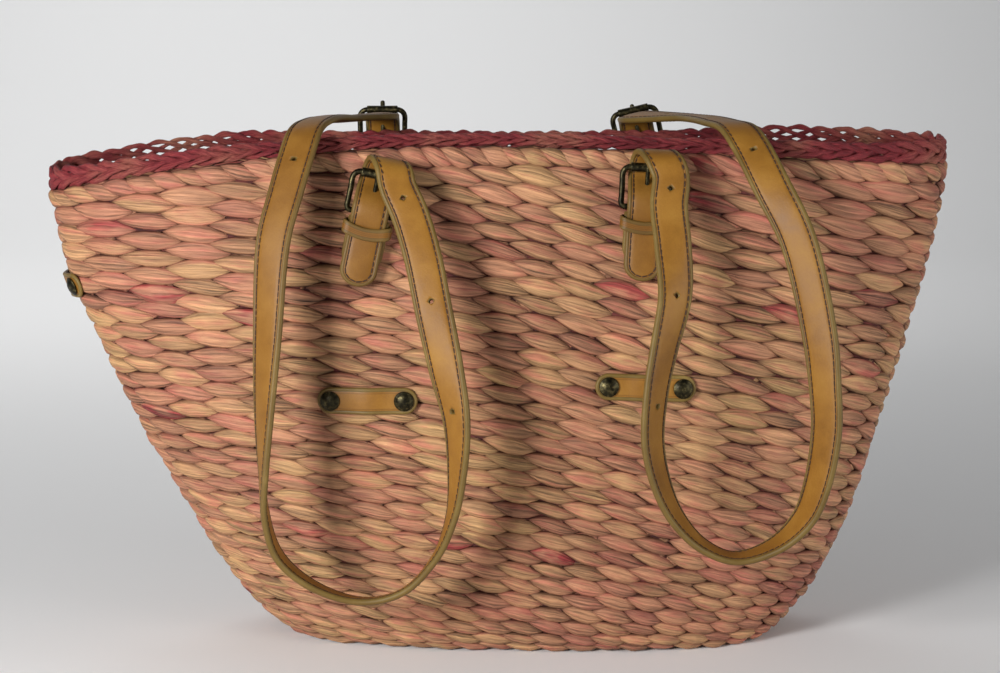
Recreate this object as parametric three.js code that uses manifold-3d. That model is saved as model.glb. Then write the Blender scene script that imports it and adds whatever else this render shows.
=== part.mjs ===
// A straw basket bag: a twined oval basket with a plaited rim, two leather carrying straps that are buckled
// to leather tabs on the front and back wall, and three short riveted leather strips.
// Millimetres, +Z up. The origin is the middle of the flat underside and the front faces -Y.

import * as THREE from "three";
import { mergeVertices } from "three/addons/utils/BufferGeometryUtils.js";
import Module from "manifold-3d";

const wasm = await Module();
wasm.setup();

// Basket
const BASKET_HEIGHT = 281;
const RIM_WIDTH = 502;
const RIM_SHIFT = -19;
const BASE_WIDTH = 268;
const BASE_DEPTH = 114;
const BELLY_DEPTH = 168;
const WALL = 7;
const FLOOR = 7;
const FLOOR_RING = { across: 0.9, deep: 0.8 };

// Plaited rim
const RIM_HEIGHT = 10.6;
const RIM_END_RISE = 2;
const RIM_THICKNESS = 6.6;
const RIM_GAPS = 60;
const RIM_GAP_LENGTH = 3.2;
const RIM_GAP_HEIGHT = 4.4;
const RIM_GAP_LEAN = 38;

// Leather
const STRAP_WIDTH = 20;
const STRAP_THICKNESS = 3.5;
const STRAP_TIP = 9;
const STRAP_STATIONS = 84;
const EDGE_SOFTNESS = 0.3;
const TAB_WIDTH = 22;
const TAB_THICKNESS = 3;
const TAB_LENGTH = 31;
const TAB_KNEE = { down: 23, proud: 0.9 };
const TAB_TIP = [0.72, 0.95];
const TAB_STATIONS = 7;
const KEEPER_HEIGHT = 7.5;
const KEEPER_THICKNESS = 1.4;
const KEEPER_DROP = 11;
const STRIP_LENGTH = 54;
const STRIP_WIDTH = 14.5;
const STRIP_THICKNESS = 2.2;
const STRIP_STATIONS = 12;
const STRIP_ARCH = 1.6;
const STRIP_ARCH_START = 0.26;
const FRONT_STRIP_EASE = 0.3;
const END_STRIP_EASE = -0.5;
const END_STRIP_SPREAD = 0.62;

// Metal
const BUCKLE_WIDTH = 29;
const BUCKLE_HEIGHT = 21;
const BUCKLE_SET_BACK = 1;
const BUCKLE_CORNER = 3.4;
const HEEL_CORNER = 1.6;
const WIRE_RADIUS = 1.5;
const ROLLER_LENGTH = 18;
const ROLLER_RADIUS = 2.4;
const TONGUE_RADIUS = 1.2;
const FRONT_TONGUE_REACH = 24;
const BACK_TONGUE_REACH = 27;
const TONGUE_SLOT = { length: 17, depth: 4.6, out: 1.7, up: 12 };
const RIVET_WIDTH = 10.6;
const RIVET_HEIGHT = 2.4;
const RIVET_INSET = 7;

const CLEARANCE = 0.3;

const LEATHER = { color: 0xbe8c46, roughness: 0.6, metalness: 0 };
const STRAW = { color: 0xd29b78, roughness: 0.85, metalness: 0 };
const DYED_STRAW = { color: 0xa0323c, roughness: 0.8, metalness: 0 };
const OLD_BRASS = { color: 0x4a4030, roughness: 0.4, metalness: 0.9 };

const part = new THREE.Group();

function table(names, rows) {
  return rows.map((row) => Object.fromEntries(names.map((name, k) => [name, row[k]])));
}

function addPiece(name, geometry, look) {
  const mesh = new THREE.Mesh(geometry, new THREE.MeshStandardMaterial(look));
  mesh.name = name;
  part.add(mesh);
  return mesh;
}

// Solids from rings of points, with a lid at each end or closed on themselves

function fromRings(rings, closed = false) {
  const sides = rings[0].length;
  const points = rings.flat();
  const faces = [];
  const last = closed ? rings.length : rings.length - 1;
  for (let k = 0; k < last; k++) {
    const low = k * sides;
    const high = ((k + 1) % rings.length) * sides;
    for (let i = 0; i < sides; i++) {
      const j = (i + 1) % sides;
      faces.push(low + i, low + j, high + j, low + i, high + j, high + i);
    }
  }
  if (!closed) {
    for (const [k, flip] of [[0, true], [rings.length - 1, false]]) {
      const middle = rings[k].reduce((sum, p) => sum.add(p), new THREE.Vector3()).divideScalar(sides);
      const centre = points.push(middle) - 1;
      for (let i = 0; i < sides; i++) {
        const a = k * sides + i;
        const b = k * sides + ((i + 1) % sides);
        faces.push(centre, flip ? b : a, flip ? a : b);
      }
    }
  }
  const geometry = new THREE.BufferGeometry();
  geometry.setAttribute("position", new THREE.Float32BufferAttribute(points.flatMap((p) => p.toArray()), 3));
  geometry.setIndex(faces);
  return geometry;
}

function toSolid(geometry) {
  const bare = geometry.clone();
  bare.deleteAttribute("normal");
  bare.deleteAttribute("uv");
  const merged = mergeVertices(bare, 1e-4);
  return new wasm.Manifold(new wasm.Mesh({
    numProp: 3,
    vertProperties: new Float32Array(merged.attributes.position.array),
    triVerts: new Uint32Array(merged.index.array),
  }));
}

function fromSolid(solid) {
  const mesh = solid.getMesh();
  const geometry = new THREE.BufferGeometry();
  geometry.setAttribute("position", new THREE.Float32BufferAttribute(mesh.vertProperties, 3));
  geometry.setIndex([...mesh.triVerts]);
  return geometry;
}

// Basket surface. Each row is a level section. Widths and depths are shares of the way from the base's size
// to the rim's or the belly's, and heights, drops and the back's sag are shares of the basket's height.

const SECTIONS = table(
  ["share", "up", "left", "right", "front", "back", "square", "dropLeft", "dropRight", "sag", "pinch", "turn"],
  [
    [0.00, 0.000, 0.00, 0.00, 0.00, 0.00, 2.8, 0.000, 0.000, 0.000, 0.00, 2.5],
    [0.05, 0.032, 0.10, 0.10, 0.25, 0.25, 2.6, 0.010, 0.010, 0.000, 0.00, 2.4],
    [0.17, 0.155, 0.28, 0.31, 0.62, 0.62, 2.4, 0.036, 0.034, 0.000, 0.00, 2.0],
    [0.31, 0.300, 0.44, 0.49, 0.86, 0.86, 2.3, 0.056, 0.046, 0.000, 0.00, 1.5],
    [0.50, 0.495, 0.64, 0.66, 1.00, 1.00, 2.3, 0.078, 0.050, 0.000, 0.00, 0.8],
    [0.70, 0.700, 0.82, 0.83, 0.90, 0.90, 2.3, 0.094, 0.050, 0.010, 0.05, 0.2],
    [0.85, 0.850, 0.94, 0.94, 0.70, 0.68, 2.4, 0.102, 0.049, 0.020, 0.10, 0.0],
    [1.00, 1.000, 1.00, 1.00, 0.45, 0.40, 2.5, 0.104, 0.048, 0.045, 0.14, 0.0],
  ],
);
const PINCH_REACH = 0.45;
const LEFT_DROP_CURVE = 2.1;
const RIGHT_DROP_CURVE = 1.4;
const SAG_CURVE = 2.5;

function columnAt(rows, key, name, at) {
  let k = 0;
  while (k < rows.length - 2 && at > rows[k + 1][key]) k++;
  const slope = (i) => {
    const before = rows[Math.max(i - 1, 0)];
    const after = rows[Math.min(i + 1, rows.length - 1)];
    return (after[name] - before[name]) / (after[key] - before[key]);
  };
  const [a, b] = [rows[k], rows[k + 1]];
  const step = b[key] - a[key];
  const t = (at - a[key]) / step;
  const bend = (2 * t ** 3 - 3 * t ** 2 + 1) * a[name] + (3 * t ** 2 - 2 * t ** 3) * b[name];
  return bend + step * ((t ** 3 - 2 * t ** 2 + t) * slope(k) + (t ** 3 - t ** 2) * slope(k + 1));
}

function sectionAt(share) {
  const at = (name) => columnAt(SECTIONS, "share", name, share);
  const baseEdge = BASE_WIDTH / 2;
  const left = -baseEdge + (RIM_SHIFT - RIM_WIDTH / 2 + baseEdge) * at("left");
  const right = baseEdge + (RIM_SHIFT + RIM_WIDTH / 2 - baseEdge) * at("right");
  const swell = (BELLY_DEPTH - BASE_DEPTH) / 2;
  return {
    middle: (left + right) / 2,
    half: (right - left) / 2,
    front: BASE_DEPTH / 2 + swell * at("front"),
    back: BASE_DEPTH / 2 + swell * at("back"),
    square: at("square"),
    up: at("up"),
    dropLeft: at("dropLeft"),
    dropRight: at("dropRight"),
    sag: at("sag"),
    pinch: at("pinch"),
    turn: THREE.MathUtils.degToRad(-at("turn")),
  };
}

function sectionPoint(section, along, out, side) {
  const depth = side < 0 ? section.front : section.back;
  const x = section.middle + section.half * along;
  const y = side * depth * out * (1 - section.pinch * Math.exp(-((along / PINCH_REACH) ** 2)));
  const drop = along < 0
    ? section.dropLeft * Math.abs(along) ** LEFT_DROP_CURVE
    : section.dropRight * along ** RIGHT_DROP_CURVE;
  const sag = side > 0 ? section.sag * (1 - along ** 2) ** SAG_CURVE : 0;
  const z = BASKET_HEIGHT * (section.up - drop - sag);
  return new THREE.Vector3(x, y, z).applyAxisAngle(new THREE.Vector3(0, 0, 1), section.turn);
}

function basketPoint(angle, share) {
  const section = sectionAt(share);
  const [c, s] = [Math.cos(angle), Math.sin(angle)];
  const along = Math.sign(c) * Math.abs(c) ** (2 / section.square);
  const out = Math.abs(s) ** (2 / section.square);
  return sectionPoint(section, along, out, s < 0 ? -1 : 1);
}

function basketNormal(angle, share) {
  const step = 0.004;
  const around = basketPoint(angle + step, share).sub(basketPoint(angle - step, share));
  const high = Math.min(share + step, 1);
  const low = Math.max(share - step, 0);
  const upward = basketPoint(angle, high).sub(basketPoint(angle, low));
  return around.cross(upward).normalize();
}

function wallAt(x, z, side) {
  let share = z / BASKET_HEIGHT;
  let point = new THREE.Vector3(x, 0, z);
  for (let pass = 0; pass < 14; pass++) {
    const section = sectionAt(THREE.MathUtils.clamp(share, 0, 1));
    const straight = x * Math.cos(section.turn) + point.y * Math.sin(section.turn);
    const along = THREE.MathUtils.clamp((straight - section.middle) / section.half, -1, 1);
    const out = (1 - Math.abs(along) ** section.square) ** (1 / section.square);
    point = sectionPoint(section, along, out, side);
    share += (z - point.z) / BASKET_HEIGHT;
  }
  return point.y;
}

function rimAngles(count) {
  const fine = 1440;
  const lengths = [0];
  let before = basketPoint(0, 1);
  for (let i = 1; i <= fine; i++) {
    const next = basketPoint((2 * Math.PI * i) / fine, 1);
    lengths.push(lengths.at(-1) + next.distanceTo(before));
    before = next;
  }
  const angles = [];
  let i = 0;
  for (let k = 0; k < count; k++) {
    const wanted = (lengths.at(-1) * k) / count;
    while (lengths[i + 1] < wanted) i++;
    const part = (wanted - lengths[i]) / (lengths[i + 1] - lengths[i]);
    angles.push((2 * Math.PI * (i + part)) / fine);
  }
  return angles;
}

function basketBody() {
  const outside = [0, 0.02, 0.05, 0.1, 0.17, 0.26, 0.37, 0.5, 0.63, 0.75, 0.88, 1];
  const inside = [1, 0.88, 0.75, 0.6, 0.45, 0.31, 0.2, 0.12, 0.06];
  const angles = rimAngles(RIM_GAPS);
  const rings = outside.map((share) => angles.map((angle) => basketPoint(angle, share)));
  for (const share of inside) {
    rings.push(angles.map((angle) => {
      const normal = basketNormal(angle, share);
      if (share === 1) normal.setZ(0).normalize();
      const point = basketPoint(angle, share).addScaledVector(normal, -WALL);
      return point.setZ(Math.max(point.z, FLOOR));
    }));
  }
  rings.push(rings.at(-1).map((p) => new THREE.Vector3(p.x * FLOOR_RING.across, p.y * FLOOR_RING.deep, FLOOR)));
  addPiece("basket_body", fromRings(rings), STRAW);
}

// Rim: a ring seated on the wall's top edge, with slanting gaps between the strands of its plait

function rimFrame(angle) {
  const edge = basketPoint(angle, 1);
  const out = basketNormal(angle, 1).setZ(0).normalize();
  const end = (edge.x - RIM_SHIFT) / (RIM_WIDTH / 2);
  const height = RIM_HEIGHT + RIM_END_RISE * end ** 2;
  const foot = edge.addScaledVector(out, -WALL / 2);
  foot.z += CLEARANCE;
  return { foot, out, height };
}

function rimBraid() {
  const half = RIM_THICKNESS / 2;
  const profile = [[-0.75, 0], [-1, 0.18], [-1, 0.8], [-0.55, 1], [0.55, 1], [1, 0.8], [1, 0.18], [0.75, 0]];
  const angles = rimAngles(2 * RIM_GAPS);
  const rings = angles.filter((_, k) => k % 2 === 0).map((angle) => {
    const { foot, out, height } = rimFrame(angle);
    return profile.map(([across, up]) =>
      foot.clone().addScaledVector(out, across * half).add(new THREE.Vector3(0, 0, up * height)));
  });
  let solid = toSolid(fromRings(rings, true));
  const cutters = angles.filter((_, k) => k % 2 === 1).map((angle) => {
    const { foot, out, height } = rimFrame(angle);
    const cutter = new THREE.BoxGeometry(RIM_GAP_LENGTH, 2 * RIM_THICKNESS, RIM_GAP_HEIGHT);
    const lean = Math.tan(THREE.MathUtils.degToRad(RIM_GAP_LEAN));
    cutter.applyMatrix4(new THREE.Matrix4().makeShear(0, 0, 0, 0, lean, 0));
    const along = new THREE.Vector3(-out.y, out.x, 0);
    cutter.applyMatrix4(new THREE.Matrix4().makeBasis(along, out.clone().negate(), new THREE.Vector3(0, 0, 1)));
    cutter.translate(foot.x, foot.y, foot.z + height / 2);
    return toSolid(cutter);
  });
  for (const cutter of cutters) solid = solid.subtract(cutter);
  addPiece("rim_braid", fromSolid(solid), DYED_STRAW);
}

// Flat bands of leather: a section with softened edges swept along stations of a place, a direction across
// the band and a direction through it

function band(stations, width, thickness, scales = []) {
  const soft = thickness * EDGE_SOFTNESS;
  const outline = [[-1, 0, 0], [-1, -1, soft], [1, -1, -soft], [1, 0, 0], [1, 1, -soft], [-1, 1, soft]];
  const rings = stations.map(({ place, across, through }, k) => {
    const size = (scales[k] ?? 1) * width;
    return outline.map(([i, j, inset]) => place.clone()
      .addScaledVector(across, (i * size) / 2 + inset)
      .addScaledVector(through, (j * thickness) / 2));
  });
  return fromRings(rings);
}

function alongPath(keys, count) {
  const curve = new THREE.CatmullRomCurve3(keys.map((key) => key.place), false, "centripetal");
  const stations = [];
  for (let k = 0; k <= count; k++) {
    const t = curve.getUtoTmapping(k / count);
    const at = Math.min(t * (keys.length - 1), keys.length - 1 - 1e-9);
    const i = Math.floor(at);
    const blend = at - i;
    const along = curve.getTangent(t);
    const across = keys[i].across.clone().lerp(keys[i + 1].across, blend);
    across.addScaledVector(along, -across.dot(along)).normalize();
    stations.push({ place: curve.getPoint(t), across, through: across.clone().cross(along).negate() });
  }
  return stations;
}

// Buckles. Each stands on its heel bar, in a frame of its own: across, outward from the wall and up.

const BUCKLES = table(
  ["name", "side", "across", "up", "stand_off", "lean"],
  [
    ["front_left", -1, -0.172, 0.878, 6.5, 12],
    ["front_right", -1, 0.119, 0.89, 6.5, 3],
    ["back_left", 1, -0.172, 0.961, 7, 0],
    ["back_right", 1, 0.13, 0.961, 7, -13],
  ],
).map((buckle) => {
  const x = buckle.across * RIM_WIDTH;
  const z = buckle.up * BASKET_HEIGHT;
  const heel = new THREE.Vector3(x, wallAt(x, z, buckle.side) + buckle.side * buckle.stand_off, z);
  const lean = THREE.MathUtils.degToRad(buckle.lean);
  const across = new THREE.Vector3(Math.cos(lean), 0, -Math.sin(lean));
  const up = new THREE.Vector3(Math.sin(lean), 0, Math.cos(lean));
  const out = new THREE.Vector3(0, buckle.side, 0);
  const at = (a, o, u) => heel.clone().addScaledVector(across, a).addScaledVector(out, o).addScaledVector(up, u);
  const fitted = (geometry) => {
    const turned = new THREE.Matrix4().makeBasis(across.clone().multiplyScalar(buckle.side), out, up);
    return geometry.applyMatrix4(turned.setPosition(heel));
  };
  return { ...buckle, heel, across_way: across, out_way: out, up_way: up, at, fitted };
});

const EYE_BORE = WIRE_RADIUS + CLEARANCE;
const EYE_RADIUS = EYE_BORE + 2.4;
const TONGUE_EYE_RADIUS = EYE_BORE + 1.5;
const TONGUE_EYE_LENGTH = 4;

function ringAlongX(outer, inner, length) {
  const shape = new THREE.Shape().absarc(0, 0, outer, 0, 2 * Math.PI);
  shape.holes.push(new THREE.Path().absarc(0, 0, inner, 0, 2 * Math.PI, true));
  const ring = new THREE.ExtrudeGeometry(shape, { depth: length, bevelEnabled: false, curveSegments: 6 });
  ring.translate(0, 0, -length / 2);
  return ring.rotateY(Math.PI / 2);
}

function wire(points, radius, sides, closed) {
  const curve = new THREE.CatmullRomCurve3(points, closed, "centripetal");
  const count = closed ? points.length : points.length - 1;
  const flat = curve.getTangent(0).cross(curve.getTangent(0.25)).normalize();
  const rings = [];
  for (let k = 0; k < (closed ? count : count + 1); k++) {
    const t = k / count;
    const along = curve.getTangent(t);
    const out = flat.clone().cross(along).normalize();
    const rim = out.clone().cross(along).normalize();
    const turn = (i) => (2 * Math.PI * i) / sides;
    rings.push(Array.from({ length: sides }, (_, i) => curve.getPoint(t)
      .addScaledVector(out, radius * Math.cos(turn(i)))
      .addScaledVector(rim, -radius * Math.sin(turn(i)))));
  }
  return fromRings(rings, closed);
}

function buckleFrame(buckle) {
  const half = BUCKLE_WIDTH / 2 - WIRE_RADIUS;
  const level = (a, u) => new THREE.Vector3(a, (-BUCKLE_SET_BACK * u) / BUCKLE_HEIGHT, u);
  const heel = [[0, 0], [half - 1.9 * HEEL_CORNER, 0], [half - 0.6 * HEEL_CORNER, 0.12 * HEEL_CORNER],
    [half, HEEL_CORNER]];
  const crown = [[half, BUCKLE_HEIGHT / 2], [half, BUCKLE_HEIGHT - BUCKLE_CORNER],
    [half - BUCKLE_CORNER * 0.35, BUCKLE_HEIGHT - BUCKLE_CORNER * 0.35], [half - BUCKLE_CORNER, BUCKLE_HEIGHT]];
  const right = [...heel, ...crown];
  const left = right.slice(1).reverse().map(([a, u]) => [-a, u]);
  const loop = [...right, [0, BUCKLE_HEIGHT], ...left].map(([a, u]) => level(a, u));
  addPiece(`buckle_frame_${buckle.name}`, buckle.fitted(wire(loop, WIRE_RADIUS, 6, true)), OLD_BRASS);
  const roller = ringAlongX(ROLLER_RADIUS, WIRE_RADIUS + 1.5 * CLEARANCE, ROLLER_LENGTH);
  roller.translate(0, -BUCKLE_SET_BACK, BUCKLE_HEIGHT);
  addPiece(`buckle_roller_${buckle.name}`, buckle.fitted(roller), OLD_BRASS);
}

function buckleTongue(buckle) {
  const reach = buckle.side < 0 ? FRONT_TONGUE_REACH : BACK_TONGUE_REACH;
  const rest = ROLLER_RADIUS - BUCKLE_SET_BACK + CLEARANCE + TONGUE_RADIUS;
  const line = [[0.4, 2.6], [1.2, 8], [1.8, 12], [2.2, 16], [rest, BUCKLE_HEIGHT], [rest, reach]];
  const arm = toSolid(wire(line.map(([o, u]) => new THREE.Vector3(0, o, u)), TONGUE_RADIUS, 6, false));
  const eye = toSolid(ringAlongX(TONGUE_EYE_RADIUS, EYE_BORE, TONGUE_EYE_LENGTH));
  addPiece(`buckle_tongue_${buckle.name}`, buckle.fitted(fromSolid(eye.add(arm))), OLD_BRASS);
}

function tab(buckle) {
  const wall = (u) => buckle.side * (wallAt(buckle.at(0, 0, u).x, buckle.at(0, 0, u).z, buckle.side)
    - buckle.heel.y);
  const seat = TAB_THICKNESS / 2 + 0.5;
  const [low, high] = [-KEEPER_DROP - KEEPER_HEIGHT / 2 - 1, -KEEPER_DROP + KEEPER_HEIGHT / 2 + 0.6];
  const level = wall(low) + TAB_THICKNESS / 2 + KEEPER_THICKNESS + 3.5 * CLEARANCE;
  const line = [[wall(-TAB_LENGTH) + seat, -TAB_LENGTH], [wall(-TAB_KNEE.down) + seat + TAB_KNEE.proud, -TAB_KNEE.down], [level, low],
    [level, high], [-0.3, -2.8]];
  const keys = line.map(([o, u]) => ({ place: new THREE.Vector3(0, o, u), across: new THREE.Vector3(1, 0, 0) }));
  const leaf = toSolid(band(alongPath(keys, TAB_STATIONS), TAB_WIDTH, TAB_THICKNESS, TAB_TIP));
  const eye = toSolid(ringAlongX(EYE_RADIUS, EYE_BORE, TAB_WIDTH - 3));
  const slotHeight = EYE_RADIUS + TONGUE_EYE_RADIUS + 2;
  const slot = new THREE.BoxGeometry(TONGUE_EYE_LENGTH + 4 * CLEARANCE, 3 * EYE_RADIUS, slotHeight);
  slot.translate(0, 0, slotHeight / 2 - TONGUE_EYE_RADIUS - CLEARANCE);
  const solid = leaf.add(eye).subtract(toSolid(slot));
  addPiece(`tab_${buckle.name}`, buckle.fitted(fromSolid(solid)), LEATHER);
  return level;
}

function keeper(buckle) {
  const inner = { half: STRAP_WIDTH / 2 + 1.6, low: buckle.tabPlace - TAB_THICKNESS / 2 - CLEARANCE };
  inner.high = inner.low + TAB_THICKNESS + STRAP_THICKNESS + 6 * CLEARANCE;
  const outline = (grow, corner) => {
    const [x0, x1] = [-inner.half - grow, inner.half + grow];
    const [y0, y1] = [inner.low - grow, inner.high + grow];
    const path = new THREE.Shape();
    path.moveTo(x0 + corner, y0).lineTo(x1 - corner, y0).quadraticCurveTo(x1, y0, x1, y0 + corner);
    path.lineTo(x1, y1 - corner).quadraticCurveTo(x1, y1, x1 - corner, y1).lineTo(x0 + corner, y1);
    path.quadraticCurveTo(x0, y1, x0, y1 - corner).lineTo(x0, y0 + corner);
    return path.quadraticCurveTo(x0, y0, x0 + corner, y0);
  };
  const ring = outline(KEEPER_THICKNESS, 2.4);
  ring.holes.push(outline(0, 1.2));
  const loop = new THREE.ExtrudeGeometry(ring, { depth: KEEPER_HEIGHT, bevelEnabled: false, curveSegments: 2 });
  loop.translate(0, 0, -KEEPER_DROP - KEEPER_HEIGHT / 2);
  addPiece(`keeper_${buckle.name}`, buckle.fitted(loop), LEATHER);
}

// Straps. Each row is a place on the hanging loop, from the front buckle up over the rim to the back one:
// across and forward as shares of the rim's width and the belly's depth, up as a share of the basket's
// height, and the way the band faces, turned from flat towards edge-on, in degrees.

const LEFT_LOOP = table(
  ["across", "forward", "up", "face", "lift"],
  [
    [-0.129, 0.554, 0.886, 2, 0],
    [-0.1155, 0.613, 0.813, 6, 0],
    [-0.103, 0.675, 0.712, 10, 0],
    [-0.0905, 0.714, 0.610, 24, 0],
    [-0.080, 0.732, 0.516, 46, 0],
    [-0.0795, 0.720, 0.420, 64, 0],
    [-0.086, 0.696, 0.324, 80, 2],
    [-0.1045, 0.661, 0.238, 90, 6],
    [-0.138, 0.633, 0.171, 93, 11],
    [-0.181, 0.619, 0.151, 94, 12],
    [-0.232, 0.629, 0.182, 93, 8],
    [-0.268, 0.652, 0.244, 92, 4],
    [-0.281, 0.684, 0.333, 88, 0],
    [-0.2815, 0.696, 0.417, 76, 0],
    [-0.280, 0.696, 0.512, 61, 0],
    [-0.276, 0.667, 0.661, 41, 0],
    [-0.270, 0.601, 0.840, 23, 0],
    [-0.2588, 0.548, 0.921, 18, 0],
    [-0.2485, 0.482, 0.989, 14, 0],
    [-0.2405, 0.410, 1.033, 12, 4],
    [-0.2295, 0.280, 1.046, 10, 6],
    [-0.2086, -0.060, 1.033, 6, 5],
  ],
);
const RIGHT_LOOP = table(
  ["across", "forward", "up", "face", "lift"],
  [
    [0.1412, 0.554, 0.901, 0, 0],
    [0.1445, 0.610, 0.830, -8, 0],
    [0.1458, 0.667, 0.740, -28, 0],
    [0.1350, 0.700, 0.650, -42, 0],
    [0.1267, 0.717, 0.570, -49, 0],
    [0.1237, 0.720, 0.471, -55, 0],
    [0.1337, 0.708, 0.388, -62, 0],
    [0.1514, 0.685, 0.321, -70, 0],
    [0.1811, 0.655, 0.263, -80, 0],
    [0.2155, 0.637, 0.238, -90, 0],
    [0.2550, 0.649, 0.265, -103, 0],
    [0.2829, 0.673, 0.320, -114, 0],
    [0.2956, 0.696, 0.386, -123, 0],
    [0.3036, 0.708, 0.493, -133, 0],
    [0.3012, 0.702, 0.578, -138, 0],
    [0.2956, 0.685, 0.668, -148, 0],
    [0.2739, 0.613, 0.841, -156, 0],
    [0.2484, 0.548, 0.936, -164, 0],
    [0.2300, 0.455, 1.003, -170, 0],
    [0.2180, 0.375, 1.034, -174, 0],
    [0.2030, 0.240, 1.040, -176, 0],
    [0.1787, -0.060, 1.035, -178, 0],
  ],
);

const TAIL = [[2.2, -39], [0.7, -25], [0, -16], [0.3, -8.5]];
const FRONT_TURN = [[0, 6.5, 0], [0, 5.9, 4.4], [0, 3.4, 8.8], [0, -3.6, 14.5], [0.4, -7, 20.6],
  [1.6, -5.1, 26.8], [4, 1.3, 29.2], [8, 8.8, 26], [11.5, 12.8, 18.8]];
const BACK_TURN = [[0, 6.5, 0], [0, 6.4, 5], [0, 4.5, 11], [0, -0.9, 15.9], [0, -8.5, 18], [0, -20, 18.8]];

function tailKeys(buckle, tabPlace, turn, way) {
  const seat = tabPlace + (TAB_THICKNESS + STRAP_THICKNESS) / 2 + 2 * CLEARANCE;
  return [...TAIL.map(([away, u]) => [0, seat + away, u]), ...turn].map(([a, o, u]) => ({
    place: buckle.at(a, o, u),
    across: buckle.across_way.clone().multiplyScalar(way),
  }));
}

function strap(name, front, back, loop, endWay) {
  const keys = tailKeys(front, front.tabPlace, FRONT_TURN, 1);
  for (const row of loop) {
    const [face, lift] = [THREE.MathUtils.degToRad(row.face), THREE.MathUtils.degToRad(row.lift)];
    keys.push({
      place: new THREE.Vector3(row.across * RIM_WIDTH, -row.forward * BELLY_DEPTH, row.up * BASKET_HEIGHT),
      across: new THREE.Vector3(Math.cos(face), -Math.sin(face), Math.tan(lift)).normalize(),
    });
  }
  keys.push(...tailKeys(back, back.tabPlace, BACK_TURN, endWay).reverse());
  const stations = alongPath(keys, STRAP_STATIONS);
  const scales = stations.map(({ place }) => {
    const left = Math.min(place.distanceTo(stations[0].place), place.distanceTo(stations.at(-1).place));
    return left < STRAP_TIP ? 0.45 + 0.55 * Math.sqrt(1 - (1 - left / STRAP_TIP) ** 2) : 1;
  });
  let solid = toSolid(band(stations, STRAP_WIDTH, STRAP_THICKNESS, scales));
  for (const buckle of [front, back]) {
    const slot = new THREE.BoxGeometry(2 * (TONGUE_RADIUS + CLEARANCE), TONGUE_SLOT.depth, TONGUE_SLOT.length);
    slot.translate(0, TONGUE_SLOT.out, TONGUE_SLOT.up);
    solid = solid.subtract(toSolid(buckle.fitted(slot)));
  }
  addPiece(name, fromSolid(solid), LEATHER);
}

// Riveted strips: two on the front wall, one round the left end

function strip(name, stations) {
  const last = stations.length - 1;
  const length = stations[0].place.distanceTo(stations[last].place);
  const scales = stations.map((_, k) => {
    const fromEnd = (Math.min(k, last - k) / last) * length;
    const round = STRIP_WIDTH / 2;
    return fromEnd < round ? Math.max(Math.sqrt(1 - (1 - fromEnd / round) ** 2), 0.4) : 1;
  });
  addPiece(`strip_${name}`, band(stations, STRIP_WIDTH, STRIP_THICKNESS, scales), LEATHER);
  const inset = Math.round((RIVET_INSET / STRIP_LENGTH) * last);
  rivet(`rivet_${name}_a`, stations[inset]);
  rivet(`rivet_${name}_b`, stations[last - inset]);
}

function rivet(name, { place, through }) {
  const half = RIVET_WIDTH / 2;
  const dome = [[0, 0], [half, 0], [half, RIVET_HEIGHT * 0.4], [half * 0.7, RIVET_HEIGHT * 0.85],
    [0, RIVET_HEIGHT]];
  const cap = new THREE.LatheGeometry(dome.map(([r, h]) => new THREE.Vector2(r, h)), 12);
  cap.rotateX(Math.PI / 2);
  const turned = new THREE.Quaternion().setFromUnitVectors(new THREE.Vector3(0, 0, 1), through);
  cap.applyQuaternion(turned);
  const seat = place.clone().addScaledVector(through, STRIP_THICKNESS / 2 + CLEARANCE);
  addPiece(name, cap.translate(seat.x, seat.y, seat.z), OLD_BRASS);
}

function wallStations(pointAt, ease) {
  const places = Array.from({ length: STRIP_STATIONS + 1 }, (_, k) => pointAt(k / STRIP_STATIONS));
  return places.map(({ point, out }, k) => {
    const along = (places[k + 1] ?? places[k]).point.clone().sub((places[k - 1] ?? places[k]).point).normalize();
    const through = out.clone().addScaledVector(along, -out.dot(along)).normalize();
    const share = k / STRIP_STATIONS;
    const middle = THREE.MathUtils.clamp((share - STRIP_ARCH_START) / (1 - 2 * STRIP_ARCH_START), 0, 1);
    const arch = STRIP_ARCH * Math.sin(Math.PI * middle) ** 2;
    const place = point.clone().addScaledVector(through, STRIP_THICKNESS / 2 + CLEARANCE + ease + arch);
    return { place, across: through.clone().cross(along), through };
  });
}

function frontStrip(name, across, up, tilt) {
  const [x, z] = [across * RIM_WIDTH, up * BASKET_HEIGHT];
  const stations = wallStations((share) => {
    const away = (share - 0.5) * STRIP_LENGTH;
    const [px, pz] = [x + away, z + away * tilt];
    const point = new THREE.Vector3(px, wallAt(px, pz, -1), pz);
    const upward = new THREE.Vector3(px, wallAt(px, pz + 2, -1), pz + 2).sub(point);
    const sideward = new THREE.Vector3(px + 2, wallAt(px + 2, pz, -1), pz).sub(point);
    return { point, out: sideward.cross(upward).normalize() };
  }, FRONT_STRIP_EASE);
  strip(name, stations);
}

function endStrip(name, share) {
  const stations = wallStations((t) => {
    const angle = Math.PI + (t - 0.5) * END_STRIP_SPREAD;
    return { point: basketPoint(angle, share), out: basketNormal(angle, share) };
  }, END_STRIP_EASE);
  strip(name, stations);
}

basketBody();
rimBraid();
for (const buckle of BUCKLES) {
  buckleFrame(buckle);
  buckleTongue(buckle);
  buckle.tabPlace = tab(buckle);
  keeper(buckle);
}
const [frontLeft, frontRight, backLeft, backRight] = BUCKLES;
strap("strap_left", frontLeft, backLeft, LEFT_LOOP, 1);
strap("strap_right", frontRight, backRight, RIGHT_LOOP, -1);
frontStrip("front_left", -0.176, 0.522, 0.015);
frontStrip("front_right", 0.12, 0.548, -0.04);
endStrip("left_end", 0.81);

export default part;
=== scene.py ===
import math

import bmesh
import bpy
import numpy as np
from mathutils import Matrix, Vector


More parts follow.
